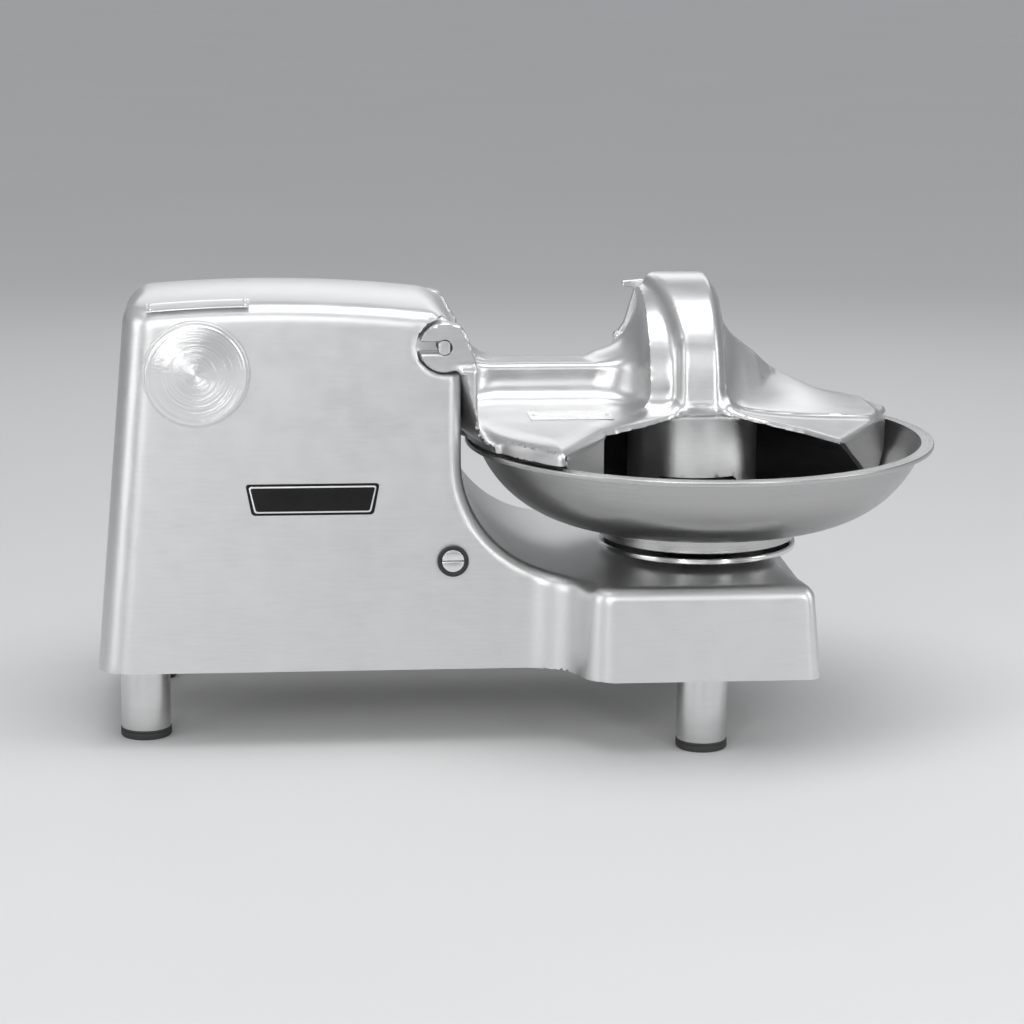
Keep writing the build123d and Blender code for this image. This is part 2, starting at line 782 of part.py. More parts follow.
def gear_frame():
    """Cradle bolted under the pedestal that carries the worm and the foot of the spindle."""
    top = pedestal_top - casting_wall
    back = worm_y + spindle_bearing_r + frame_wall
    half = frame_half_x
    floor_top = spindle_bottom_z
    frame = block((-half, frame_front_y, frame_floor_z), (half, back, floor_top))
    post = block((-half, frame_front_y, frame_floor_z), (half, frame_front_y + frame_wall, top))
    seat_top = floor_top + spindle_bearing_width
    frame = frame + post
    frame = frame + bar((0, 0, frame_floor_z), (0, 0, seat_top), spindle_bearing_r + frame_wall)
    for side in (-1, 1):
        inner = side * (half - frame_wall)
        outer = side * half
        cheek = block((min(inner, outer), worm_y - spindle_bearing_r, frame_floor_z),
                      (max(inner, outer), back, top))
        frame = frame + cheek
    frame = frame - bar((0, 0, floor_top), (0, 0, seat_top), spindle_bearing_r)
    bore = worm_shaft_r + bearing_wall
    frame = frame - bar((-2 * half, worm_y, worm_z), (2 * half, worm_y, worm_z), bore)
    return frame & base_form(casting_wall, base_z)


def worm_bearings():
    """Bearings of the worm shaft: two in the gear frame and one beside the big gear."""
    rings = []
    outer = worm_shaft_r + bearing_wall
    for x in (-frame_half_x, frame_half_x - frame_wall, worm_post_x):
        rings.append(ring_bearing((x, worm_y, worm_z), (x + frame_wall, worm_y, worm_z),
                                  outer, worm_shaft_r))
    return group(rings)


def worm_post():
    """Post on the bottom plate that steadies the worm shaft beside the big gear."""
    outer = worm_shaft_r + bearing_wall
    half = outer + frame_wall
    low = (worm_post_x, worm_y - half, plate_top_z)
    high = (worm_post_x + frame_wall, worm_y + half, worm_z + half)
    far = (worm_post_x - frame_wall, worm_y, worm_z)
    return block(low, high) - bar(far, (0, worm_y, worm_z), outer)


def reduction_gear():
    """Large spur gear on the worm shaft."""
    pitch_r = gear_module * gear_teeth / 2
    wheel = toothed_wheel(gear_teeth, pitch_r, gear_width)
    wheel = Pos(gear_x, worm_y, worm_z) * Rot(0, 90, 0) * wheel
    far = 2 * gear_width
    return wheel - bar((gear_x - far, worm_y, worm_z), (gear_x + far, worm_y, worm_z), worm_shaft_r)


def motor_pinion():
    """Small spur gear on the motor shaft."""
    pitch_r = gear_module * pinion_teeth / 2
    wheel = toothed_wheel(pinion_teeth, pitch_r, gear_width)
    wheel = Pos(gear_x, motor_y, motor_z) * Rot(0, 90, 0) * wheel
    far = 2 * gear_width
    return wheel - bar((gear_x - far, motor_y, motor_z), (gear_x + far, motor_y, motor_z), motor_shaft_r)


# ---------------------------------------------------------------- motor and belt

def motor_body():
    """Motor shell with ribs and two end bells."""
    left = motor_left_x + motor_bell_length
    right = motor_right_x - motor_bell_length
    shell = bar((left, motor_y, motor_z), (right, motor_y, motor_z), motor_r)
    bell_r = motor_r - 3.0
    body = shell
    for outer, inner in ((motor_left_x, left), (motor_right_x, right)):
        body = body + bar((outer, motor_y, motor_z), (inner, motor_y, motor_z), bell_r)
    groove = 3.0
    count = 9
    step = (right - left) / (count + 1)
    for i in range(1, count + 1):
        x = left + i * step
        body = body - pipe((x - groove / 2, motor_y, motor_z), (x + groove / 2, motor_y, motor_z),
                           motor_r + 1.0, motor_r - groove)
    far = 40.0
    hole = motor_shaft_r + running_clearance
    return body - bar((motor_left_x - far, motor_y, motor_z), (motor_right_x + far, motor_y, motor_z), hole)


def motor_cradle():
    """Two saddles that stand the motor on the bottom plate."""
    saddles = []
    for x in (motor_left_x + motor_bell_length, motor_right_x - motor_bell_length - cradle_width):
        low = (x, motor_y - cradle_span / 2, plate_top_z)
        high = (x + cradle_width, motor_y + cradle_span / 2, motor_z - motor_r * 0.55)
        saddle = block(low, high)
        far = 2 * motor_r
        hollow = bar((x - far, motor_y, motor_z), (x + far, motor_y, motor_z), motor_r)
        saddles.append(saddle - hollow)
    return group(saddles)


def motor_shaft():
    """Rotor shaft through the motor, carrying the pinion and the belt pulley."""
    start = (motor_left_x + motor_bell_length / 2, motor_y, motor_z)
    return bar(start, (motor_shaft_right_x, motor_y, motor_z), motor_shaft_r)


def belt_pulley(y, z, bore):
    """Grooved pulley for the ribbed belt, with a flange each side."""
    start = pulley_x - pulley_width / 2
    end = pulley_x + pulley_width / 2
    flange = 2.0
    body = bar((start, y, z), (end, y, z), pulley_r)
    for a, b in ((start - flange, start), (end, end + flange)):
        body = body + bar((a, y, z), (b, y, z), pulley_r + flange)
    return body - bar((start - 10.0, y, z), (end + 10.0, y, z), bore)


def drive_belt():
    """Belt loop from the motor pulley up to the knife shaft pulley."""
    start = pulley_x - pulley_width / 2 + 1.0
    end = pulley_x + pulley_width / 2 - 1.0
    loop = {}
    for name, r in (("outer", pulley_r + belt_gap + belt_thickness), ("inner", pulley_r + belt_gap)):
        low = bar((start, motor_y, motor_z), (end, motor_y, motor_z), r)
        high = bar((start, shaft_y, shaft_z), (end, shaft_y, shaft_z), r)
        run_y = shaft_y - motor_y
        run_z = shaft_z - motor_z
        length = math.hypot(run_y, run_z)
        side_y = run_z / length * r
        side_z = -run_y / length * r
        corners = [
            (motor_y + side_y, motor_z + side_z),
            (shaft_y + side_y, shaft_z + side_z),
            (shaft_y - side_y, shaft_z - side_z),
            (motor_y - side_y, motor_z - side_z),
        ]
        loop[name] = low + high + prism_x(corners, start, end)
    return loop["outer"] - loop["inner"]


# ---------------------------------------------------------------- knife shaft

def knife_arm():
    """Cast tube that reaches over the bowl and carries the knife shaft."""
    flange = bar((arm_flange_x, shaft_y, shaft_z), (inner_wall_x, shaft_y, shaft_z), arm_flange_r)
    boss_end = right_wall_x + arm_boss_length
    boss = bar((inner_wall_x, shaft_y, shaft_z), (boss_end, shaft_y, shaft_z), arm_boss_r)
    tube = bar((boss_end, shaft_y, shaft_z), (arm_end_x, shaft_y, shaft_z), arm_r)
    arm = flange + boss + tube
    bore_r = knife_shaft_r + arm_bore_gap
    arm = arm - bar((arm_flange_x - 1.0, shaft_y, shaft_z), (0, shaft_y, shaft_z), bore_r)
    for start in arm_bearing_xs():
        end = start + bearing_width
        arm = arm - bar((start, shaft_y, shaft_z), (end, shaft_y, shaft_z), bearing_r)
    return arm


def arm_bearing_xs():
    """Left faces of the two bearings inside the arm."""
    return (arm_flange_x, arm_end_x - bearing_width)


def knife_bearings():
    """Four bearings of the knife shaft: both ends of the arm and the two posts."""
    rings = []
    for x in arm_bearing_xs() + bearing_post_xs:
        rings.append(ring_bearing((x, shaft_y, shaft_z), (x + bearing_width, shaft_y, shaft_z),
                                  bearing_r, knife_shaft_r))
    return group(rings)


def bearing_posts():
    """Two posts on the back wall that carry the rear length of the knife shaft."""
    inside = base_form(casting_wall, base_z)
    half = bearing_r + 9.0
    posts = []
    for x in bearing_post_xs:
        low = (x, shaft_y - half, shaft_z - half)
        high = (x + bearing_width, back_y, shaft_z + half)
        post = block(low, high) & inside
        far = 2 * bearing_width
        posts.append(post - bar((x - far, shaft_y, shaft_z), (x + far, shaft_y, shaft_z), bearing_r))
    return group(posts)


def shaft_seal():
    """Rubber lip seal on the nose of the arm."""
    start = (arm_end_x, shaft_y, shaft_z)
    end = (arm_end_x + 3.0, shaft_y, shaft_z)
    return pipe(start, end, arm_r - 1.0, knife_shaft_r + running_clearance)


def knife_shaft():
    """Long horizontal shaft from the hub worm, through the belt pulley, to the knives."""
    knives_end = knife_left_x + 2 * knife_thickness
    end = (knives_end + nut_length - 2.0, shaft_y, shaft_z)
    shaft = bar((knife_shaft_left_x, shaft_y, shaft_z), end, knife_shaft_r)
    half = hub_wheel_width * 1.1
    worm = bar((hub_x - half, shaft_y, shaft_z), (hub_x + half, shaft_y, shaft_z), hub_worm_r)
    return shaft + worm


def knife_hub():
    """Sleeve between the arm seal and the knives."""
    start = (knife_hub_left_x, shaft_y, shaft_z)
    return pipe(start, (knife_left_x, shaft_y, shaft_z), knife_hub_r, knife_shaft_r)


def knife_blade(x, turn):
    """A sickle blade lying across the shaft, thinned towards its cutting edge."""
    root = knife_hub_r + 5.0
    cutting = ThreePointArc((root, 4.0), (knife_swing * 0.4, knife_swing * 0.6), (0, knife_swing))
    spine = ThreePointArc((0, knife_swing), (-2.0, knife_swing * 0.55), (-root, 4.0))
    edges = [cutting, spine, Line((-root, 4.0), (-root, -8.0)), Line((-root, -8.0), (root, -8.0))]
    edges.append(Line((root, -8.0), (root, 4.0)))
    flat = extrude(make_face(edges), amount=knife_thickness)
    flat = flat + Cylinder(root, knife_thickness, align=BASE)
    flat = flat - Cylinder(knife_shaft_r, 4 * knife_thickness)
    place = Plane(origin=(x, shaft_y, shaft_z), x_dir=(0, 1, 0), z_dir=(1, 0, 0))
    return place * Rot(0, 0, turn) * flat


def knife_nut():
    """Domed hexagon nut that clamps the knives."""
    start = knife_left_x + 2 * knife_thickness
    place = Plane(origin=(start, shaft_y, shaft_z), x_dir=(0, 1, 0), z_dir=(1, 0, 0))
    hexagon = extrude(RegularPolygon(nut_r, 6), amount=nut_length * 0.6)
    dome = Pos(0, 0, nut_length * 0.6) * Cylinder(nut_r * 0.8, nut_length * 0.4, align=BASE)
    bore = Cylinder(knife_shaft_r, nut_length - 2.0, align=BASE)
    return place * (hexagon + dome - bore)


# ---------------------------------------------------------------- attachment hub

def hub_socket():
    """Socket for attachments: bored tube, flange behind the panel and long sleeve."""
    outer_r = hub_bore_r + hub_tube_wall
    tube_end = hub_face_y + hub_tube_length
    tube = bar((hub_x, hub_face_y, hub_z), (hub_x, tube_end, hub_z), outer_r)
    flange_end = hub_pad_y + hub_flange_thickness
    flange = bar((hub_x, hub_pad_y, hub_z), (hub_x, flange_end, hub_z), hub_flange_r)
    sleeve = bar((hub_x, tube_end, hub_z), (hub_x, hub_sleeve_end_y, hub_z), hub_sleeve_r)
    body = tube + flange + sleeve
    body = body - bar((hub_x, 2 * hub_face_y, hub_z), (hub_x, hub_bore_end_y, hub_z), hub_bore_r)
    hole_r = hub_shaft_r + running_clearance
    return body - bar((hub_x, hub_face_y, hub_z), (hub_x, back_y, hub_z), hole_r)


def hub_ring():
    """Trim ring around the socket, faced square and seated on the leaning panel."""
    outer_r = hub_bore_r + hub_tube_wall
    ring = pipe((hub_x, hub_face_y, hub_z), (hub_x, hub_pad_y, hub_z), hub_ring_r, outer_r)
    return ring - base_form(0, base_z)


def hub_cap():
    """Plain round cap with a plug that closes the socket."""
    front = hub_face_y - hub_cap_thickness
    disc = bar((hub_x, front, hub_z), (hub_x, hub_face_y, hub_z), hub_cap_r)
    rim = disc.edges().group_by(Axis.Y)[0]
    disc = fillet(rim, hub_cap_thickness * 0.4)
    plug_end = hub_face_y + hub_plug_length
    plug_r = hub_bore_r - stud_clearance * 4
    plug = pipe((hub_x, hub_face_y, hub_z), (hub_x, plug_end, hub_z), plug_r, plug_r - hub_tube_wall)
    return disc + plug


def hub_shaft():
    """Output shaft of the hub with a square-bored nose."""
    nose_start = hub_bore_end_y - hub_nose_length - 1.0
    nose_end = hub_bore_end_y - 1.0
    nose = bar((hub_x, nose_start, hub_z), (hub_x, nose_end, hub_z), hub_nose_r)
    half = hub_drive_square / 2
    square = block((hub_x - half, nose_start, hub_z - half),
                   (hub_x + half, nose_end - casting_wall, hub_z + half))
    shaft_end = (hub_x, shaft_y + hub_wheel_width, hub_z)
    return nose + bar((hub_x, nose_end, hub_z), shaft_end, hub_shaft_r) - square


def hub_wheel():
    """Worm wheel on the hub shaft above the worm of the knife shaft."""
    wheel = toothed_wheel(hub_wheel_teeth, hub_wheel_r, hub_wheel_width)
    wheel = Pos(hub_x, shaft_y, hub_z) * Rot(90, 0, 0) * wheel
    return wheel - bar((hub_x, 0, hub_z), (hub_x, back_y, hub_z), hub_shaft_r)


# ---------------------------------------------------------------- bowl cover

def inset(points, amount):
    """Corners of a polygon moved in, so that every side goes in by one amount."""
    count = len(points)
    area = sum(points[i - 1][0] * points[i][1] - points[i][0] * points[i - 1][1] for i in range(count))
    side = amount if area > 0 else -amount
    moved = []
    for i in range(count):
        before = Vector(*points[i]) - Vector(*points[i - 1])
        after = Vector(*points[(i + 1) % count]) - Vector(*points[i])
        normal_a = Vector(-before.Y, before.X) / before.length
        normal_b = Vector(-after.Y, after.X) / after.length
        both = normal_a + normal_b
        step = both * (2 * side / both.dot(both))
        moved.append((points[i][0] + step.X, points[i][1] + step.Y))
    return moved


def shrunk(points, shrink):
    """A polygon face drawn in on every side by one amount."""
    return make_face(Polyline(*inset(points, shrink), close=True))


def cover_shelf_body(shrink):
    """Level round shelf with a bevelled edge, from which the cover is cut."""
    r = cover_edge_r - shrink
    low = cover_bottom_z - 4 * cover_wall
    bevel = shelf_z - cover_edge_z
    corner = shrink * (math.sqrt(2) - 1)
    points = [(0, low), (r, low), (r, cover_edge_z - corner)]
    points += [(cover_edge_r - bevel - corner, shelf_z - shrink), (0, shelf_z - shrink)]
    return revolve(Plane.XZ * make_face(Polyline(*points, close=True)), Axis.Z, 360)


def cover_edge_points():
    """Plan outline of the cover: its open front edges, then a loop behind the bowl."""
    far = cover_edge_r + guard_r
    behind = [(far, cover_right_edge[-1][1]), (far, far), (-far, far), (-far, cover_open_edge[0][1])]
    return cover_open_edge + cover_right_edge + behind


def cover_plan(shrink, top):
    """Upright prism over the part of the bowl that the cover hides."""
    low = cover_bottom_z - 4 * cover_wall
    return extrude(Pos(0, 0, low) * shrunk(cover_edge_points(), shrink), amount=top - low)


def cover_bevel(shrink):
    """The bevel that runs along the open edges of the cover, between edge and shelf height."""
    corner = shrink * (math.sqrt(2) - 1)
    bevel = shelf_z - cover_edge_z
    lower = Pos(0, 0, cover_edge_z - corner) * shrunk(cover_edge_points(), shrink)
    upper = Pos(0, 0, shelf_z - shrink) * shrunk(cover_edge_points(), bevel + corner)
    return loft([lower, upper], ruled=True)


def arm_cover_body(shrink):
    """Box-like hood over the knife arm."""
    crest = arm_cover_top_z
    front = arm_cover_front_y
    back = arm_cover_back_y
    low = cover_bottom_z - 6 * cover_wall
    corner = 12.0
    points = [(front, low), (front, crest - corner * 0.7), (front + corner, crest)]
    points += [(back - 2 * corner, crest), (back, crest - 1.5 * corner), (back + corner, low)]
    face = Plane.YZ.offset(cover_left_x + shrink) * shrunk(points, shrink)
    return extrude(face, amount=-cover_left_x - shrink, dir=(1, 0, 0))


def guard_body(shrink):
    """Round hood over the knives, with a flat facet towards the front."""
    left = guard_widest_x - 2 * cover_wall
    hood = bar((left, shaft_y, shaft_z), (guard_right_x, shaft_y, shaft_z), guard_r - shrink)
    far = cover_edge_r - guard_rear_step
    near = shaft_y - guard_r - 20.0
    sides = [(guard_front_left_x, near), (guard_front_left_x, hump_front_y)]
    sides += [(guard_widest_x, shaft_y), (guard_back_left_x, latch_y - latch_width)]
    sides += [(guard_back_left_x, far), (guard_right_x, far), (guard_right_x, near)]
    low = shaft_z - guard_r - 1.0
    plan = extrude(Pos(0, 0, low) * shrunk(sides, shrink), amount=2 * guard_r + 2.0)
    tilt = math.radians(guard_flat_tilt)
    reach = guard_flat_distance - shrink
    origin = (0, shaft_y - reach * math.cos(tilt), shaft_z + reach * math.sin(tilt))
    flat = Plane(origin=origin, x_dir=(1, 0, 0), z_dir=(0, -math.cos(tilt), math.sin(tilt)))
    beyond = flat * Box(2 * guard_r, 2 * guard_r, guard_r, align=BASE)
    return (hood & plan) - beyond


def flare_body(flare, start, end, shrink):
    """A trumpet-shaped flank turned about the knife shaft, hollowed by a round of one radius."""
    centre_x, centre_r, r = flare
    width = end - start
    top = flare_r - shrink
    plate = Pos((start + end) / 2, top / 2) * Rectangle(width, top)
    face = plate - Pos(centre_x, centre_r) * Circle(r + shrink)
    body = revolve(face, Axis.X, 360)
    return Pos(0, shaft_y, shaft_z) * body


def hump_section(x, shrink):
    """One upright section across the right wing of the cover."""
    share = (x - hump_start_x) / (hump_end_x - hump_start_x)
    rise = hump_rise * max(0.0, 1 - share) ** 1.3
    low = cover_bottom_z - 3 * cover_wall
    front = hump_front_y + shrink
    back = math.sqrt(cover_edge_r**2 - x**2) - shrink
    front_z = shelf_z - 1.2 * shrink
    crest_z = max(cover_edge_z + rise, front_z) - 1.2 * shrink
    back_z = cover_edge_z - shrink
    points = [(front, low), (front, front_z), (shaft_y, crest_z), (back, back_z), (back, low)]
    return Plane.YZ.offset(x) * make_face(Polyline(*points, close=True))


def hump_body(shrink):
    """Right wing of the cover, falling away from the guard."""
    xs = [guard_right_x - 1.5 * flare_overlap]
    count = 6
    for i in range(count):
        xs.append(guard_right_x + (hump_end_x - shrink - guard_right_x) * i / (count - 1))
    return loft([hump_section(x, shrink) for x in xs], ruled=True)


def cover_form(shrink):
    """The cover as a solid, drawn in on every side by one amount."""
    side_low = (cover_left_x + shrink, lug_front_y + shrink, cover_bottom_z - 3 * cover_wall)
    side_high = (cover_shoulder_x + 50.0, cover_side_back_y - shrink, cover_edge_z - shrink)
    corner = shrink * (math.sqrt(2) - 1)
    wings = cover_plan(shrink, cover_edge_z - corner) + cover_bevel(shrink)
    form = cover_shelf_body(shrink) & wings
    form = form + block(side_low, side_high)
    ledge_low = (cover_open_edge[3][0] + shrink, cover_open_edge[3][1] + shrink, side_low[2])
    ledge_high = (cover_open_edge[4][0] - shrink, hump_front_y + flare_overlap, shelf_z - shrink)
    form = form + block(ledge_low, ledge_high)
    form = form + arm_cover_body(shrink)
    form = form + guard_body(shrink)
    form = form + flare_body(left_flare, left_flare[0], guard_front_left_x + flare_overlap, shrink)
    start = guard_right_x - flare_overlap
    form = form + flare_body(right_flare, start, right_flare_end_x - shrink, shrink)
    return form + (hump_body(shrink) & cover_plan(shrink, slant_top_z))


def hinge_lugs():
    """Two lugs with open slots and the necks that carry them down to the cover."""
    angle = math.radians(neck_outer_angle)
    reach = (cover_left_x - hinge_x) / math.cos(angle)
    knee = (cover_left_x, hinge_z + reach * math.sin(angle))
    rise = math.radians(lug_tangent_angle)
    tangent = (hinge_x + lug_r * math.cos(rise), hinge_z + lug_r * math.sin(rise))
    lugs = []
    for start in (lug_front_y, rear_lug_y):
        end = start + lug_thickness
        lug = bar((hinge_x, start, hinge_z), (hinge_x, end, hinge_z), lug_r)
        points = [(hinge_x, hinge_z), knee, (cover_left_x, cover_bottom_z)]
        points += [(neck_right_x, cover_bottom_z), (neck_right_x, hinge_z - lug_r)]
        points += [tangent]
        lug = lug + prism_y(points, start, end)
        slot = (hinge_pin_flats + 2 * hinge_slot_gap) / 2
        far = 2 * lug_r
        bore_r = hinge_pin_r + hinge_slot_gap / 2
        lug = lug - bar((hinge_x, start - 1.0, hinge_z), (hinge_x, end + 1.0, hinge_z), bore_r)
        slot_low = (hinge_x - far, start - 1.0, hinge_z - slot)
        lug = lug - block(slot_low, (hinge_x, end + 1.0, hinge_z + slot))
        lugs.append(lug)
    return lugs


def bulkhead():
    """Upright end wall beside the motor housing, notched over the arm, and its shoulder."""
    right = cover_left_x + bulkhead_thickness
    wall_low = (cover_left_x, lug_front_y + 1.0, cover_bottom_z)
    wall = block(wall_low, (right, cover_side_back_y, bulkhead_top_z))
    shoulder = [(cover_left_x, bulkhead_top_z), (right, bulkhead_top_z)]
    shoulder += [(cover_shoulder_x, arm_cover_top_z), (cover_left_x, arm_cover_top_z)]
    crest = prism_y(shoulder, arm_cover_front_y + cover_wall, arm_cover_back_y - 5 * cover_wall)
    body = wall + crest
    notch_r = arm_boss_r + bowl_clearance
    body = body - bar((2 * cover_left_x, shaft_y, shaft_z), (0, shaft_y, shaft_z), notch_r)
    low = (2 * cover_left_x, shaft_y - notch_r, 0)
    return body - block(low, (0, shaft_y + notch_r, shaft_z))


def bowl_free_space():
    """Space inside the bowl that hanging parts of the cover may fill."""
    ring = Pos(0, 0, shaft_z) * Torus(shaft_y, trough_r - bowl_clearance)
    middle_r = shaft_y - math.sqrt(trough_r**2 - (shaft_z - hub_top_z) ** 2) + bowl_clearance
    middle = bar((0, 0, hub_top_z + bowl_clearance), (0, 0, arm_cover_top_z), middle_r)
    return ring + middle


def upright_strip(ends, low, high):
    """A standing plate along one edge of the cover, its thickness towards the back."""
    (x0, y0), (x1, y1) = ends
    length = math.hypot(x1 - x0, y1 - y0)
    nx = -(y1 - y0) / length * cover_wall
    ny = (x1 - x0) / length * cover_wall
    return prism_z([(x0, y0), (x1, y1), (x1 + nx, y1 + ny), (x0 + nx, y0 + ny)], low, high)


def hanging_plates():
    """Apron in front of the knives and the two deflectors that dip into the bowl."""
    join_z = cover_edge_z - 4.0
    low = shaft_z - trough_r
    free = bowl_free_space()
    apron_top = shelf_z - cover_wall / 2
    apron = pipe((apron_x, apron_y, low), (apron_x, apron_y, apron_top), apron_r, apron_r - cover_wall)
    front = block((apron_x - 2 * apron_r, apron_y - 2 * apron_r, low),
                  (apron_x + 2 * apron_r, apron_y, apron_top))
    apron = (apron & front) & free
    left = upright_strip(left_plate_ends, low, join_z) & free
    right = upright_strip(right_plate_ends, low, join_z) & free
    tip_y = right_plate_ends[0][1]
    dip_z = hub_top_z + bowl_clearance
    under = [(tip_y - 20.0, low - 50.0), (tip_y - 20.0, join_z + 5.0), (tip_y, join_z + 5.0)]
    under += [(0, dip_z), (10.0, low - 50.0)]
    right = right - prism_x(under, 0, rim_r)
    return [apron, left, right]


def latch_ears():
    """Two ears on the hood that hold the latch pin."""
    half = latch_width / 2
    low = arm_cover_top_z - 2 * cover_wall
    ears = []
    for start in (latch_y - half - 0.5 - latch_ear, latch_y + half + 0.5):
        ear = block((latch_x - 6.0, start, low), (latch_x + 6.0, start + latch_ear, latch_z + 2.0))
        ear = ear + bar((latch_x, start, latch_z), (latch_x, start + latch_ear, latch_z), 6.0)
        ears.append(ear)
    return ears


def bowl_cover():
    """The cast cover: hood over the knives and arm, wings, end wall, lugs and deflectors."""
    outer = cover_form(0)
    under_low = (2 * cover_left_x, -2 * cover_edge_r, 0)
    floor = block(under_low, (2 * cover_edge_r, 2 * cover_edge_r, cover_bottom_z))
    solid = outer - floor
    body = solid + bulkhead()
    for ear in latch_ears():
        body = body + ear
    hollow = cover_form(cover_wall)
    body = body - hollow
    arm_way = arm_boss_r + bowl_clearance
    body = body - bar((2 * cover_left_x, shaft_y, shaft_z), (left_flare[0], shaft_y, shaft_z), arm_way)
    body = body - block((2 * cover_left_x, shaft_y - arm_way, 0),
                        (left_flare[0], shaft_y + arm_way, shaft_z))
    for plate in hanging_plates():
        body = body + plate
    for lug in hinge_lugs():
        body = body + lug
    far = 2 * latch_ear
    half = latch_width / 2 + far
    pin_hole = bar((latch_x, latch_y - half, latch_z), (latch_x, latch_y + half, latch_z), latch_pin_r)
    return body - pin_hole


def comb_plate():
    """Slotted plate inside the hood beside the knives."""
    zone = block((0, 0, comb_low_z), (comb_thickness, 2 * shaft_y, slant_top_z))
    plate = guard_body(cover_wall) & zone
    count = 5
    for i in range(-count, count + 1):
        y = shaft_y + i * comb_pitch
        tall = math.sqrt(max(0.0, (guard_r * 0.8) ** 2 - (y - shaft_y) ** 2))
        if shaft_z + tall > comb_low_z + comb_slot:
            slot_high = (comb_thickness + 1.0, y + comb_slot / 2, shaft_z + tall)
            slot = block((-1.0, y - comb_slot / 2, 0), slot_high)
            plate = plate - slot
    return plate


def latch_lever():
    """Lever with a flat thumb piece that turns on the latch pin."""
    x = latch_x
    z = latch_z
    points = [(x - 5.5, z), (x + 5.5, z), (x + 12.5, z + 16.0), (x + 25.5, z + 54.0), (x + 25.0, z + 62.0)]
    points += [(x + 2.0, z + 62.0), (x + 2.0, z + 54.0), (x + 14.0, z + 54.0), (x + 2.0, z + 16.0)]
    start = latch_y - latch_width / 2
    end = latch_y + latch_width / 2
    lever = prism_y(points, start, end)
    lever = lever + bar((x, start, z), (x, end, z), latch_boss_r)
    hole_r = latch_pin_r + running_clearance
    return lever - bar((x, start - 1.0, z), (x, end + 1.0, z), hole_r)


def latch_pin():
    """Pin of the latch lever, pressed into both ears."""
    half = latch_width / 2 + 0.5 + latch_ear + 1.0
    return bar((latch_x, latch_y - half, latch_z), (latch_x, latch_y + half, latch_z), latch_pin_r)


# ---------------------------------------------------------------- controls

def half_button(side):
    """Upper or lower half of the round push button."""
    length = button_depth + button_proud
    disc = Pos(0, 0, -button_depth) * Cylinder(button_r, length, align=BASE)
    height = button_r
    keep = Pos(0, side * (height / 2 + button_split / 2), 0) * Box(4 * button_r, height, 4 * button_r)
    half = disc & keep
    return panel_place(button_x, button_z) * half


def button_bezel():
    """Ring around the push button with a short sleeve through the panel."""
    bore = button_r + 0.4
    ring = Cylinder(button_bezel_r, bezel_proud, align=BASE)
    ring = fillet(ring.edges().sort_by(Axis.Z)[-1], 1.2)
    sleeve = Pos(0, 0, -casting_wall) * Cylinder(button_r + 0.9, casting_wall, align=BASE)
    hole = Pos(0, 0, -2 * casting_wall) * Cylinder(bore, 4 * casting_wall, align=BASE)
    return panel_place(button_x, button_z) * (ring + sleeve - hole)


def switch_box():
    """Contact block behind the push button."""
    width, depth, height = switch_block
    inside = casting_wall + 0.2
    body = Pos(0, 0, -inside - depth / 2) * Box(width, height, depth)
    well_depth = button_depth + button_travel + 1.0
    well = Pos(0, 0, -well_depth) * Cylinder(button_r + 1.0, well_depth, align=BASE)
    return panel_place(button_x, button_z) * (body - well)


def interlock_switch():
    """Small switch on the front hinge boss that senses the cover."""
    low = (hinge_x - 34.0, front_pocket_y + pocket_floor, hinge_z - 16.0)
    high = (hinge_x - 2.0, front_pocket_y + pocket_floor + 26.0, hinge_z + 12.0)
    body = block(low, high)
    tip_z = hinge_z - 16.0
    lever = block((hinge_x - 30.0, low[1] + 10.0, tip_z - 2.0), (hinge_x - 6.0, low[1] + 16.0, tip_z))
    return body + lever


def cable_gland():
    """Cord gland through the back wall, with its nut inside."""
    end_y = back_y + gland_length / 2
    start_y = end_y - gland_length
    hexagon = Plane(origin=(gland_x, start_y, gland_z), x_dir=(1, 0, 0), z_dir=(0, 1, 0))
    outside = extrude(hexagon * RegularPolygon(gland_r, 6), amount=gland_length * 0.8)
    nose = bar((gland_x, start_y, gland_z), (gland_x, end_y, gland_z), gland_r * 0.8)
    outside = (outside + nose) - base_form(0, base_z)
    neck_r = gland_r * 0.6 - stud_clearance
    neck = bar((gland_x, start_y, gland_z), (gland_x, end_y, gland_z), neck_r)
    nut = bar((gland_x, start_y, gland_z), (gland_x, back_y, gland_z), gland_r)
    body = outside + neck + (nut & base_form(casting_wall, base_z))
    far = 2 * gland_length
    bore = bar((gland_x, start_y - far, gland_z), (gland_x, end_y + far, gland_z), gland_bore_r)
    return body - bore


# ---------------------------------------------------------------- plain plates

def plate_corners(size):
    """Rivet places near the four corners of a plate."""
    half_x = size[0] / 2 - 2 * rivet_r
    half_y = size[1] / 2 - 2 * rivet_r
    return [(sx * half_x, sy * half_y) for sx in (-1, 1) for sy in (-1, 1)]


def badge():
    """Blank plate on the front panel."""
    width, height = badge_size
    plate = extrude(RectangleRounded(width, height, 2 * rivet_r), amount=sign_thickness)
    return panel_place(badge_x, badge_z) * plate


def top_plate():
    """Blank plate that follows the front slope of the crowned roof."""
    width, height = top_plate_size
    low = (top_plate_x - width / 2, top_plate_y - height / 2, hub_z)
    high = (top_plate_x + width / 2, top_plate_y + height / 2, slant_top_z + 20.0)
    return (crown_body(-sign_seat - sign_thickness) & block(low, high)) - crown_body(-sign_seat)


def cover_plate():
    """Blank plate that lies on the shelf of the cover."""
    width, height = cover_plate_size
    plate = extrude(RectangleRounded(width, height, rivet_r), amount=sign_thickness)
    return Pos(cover_plate_x, cover_plate_y, shelf_z) * plate


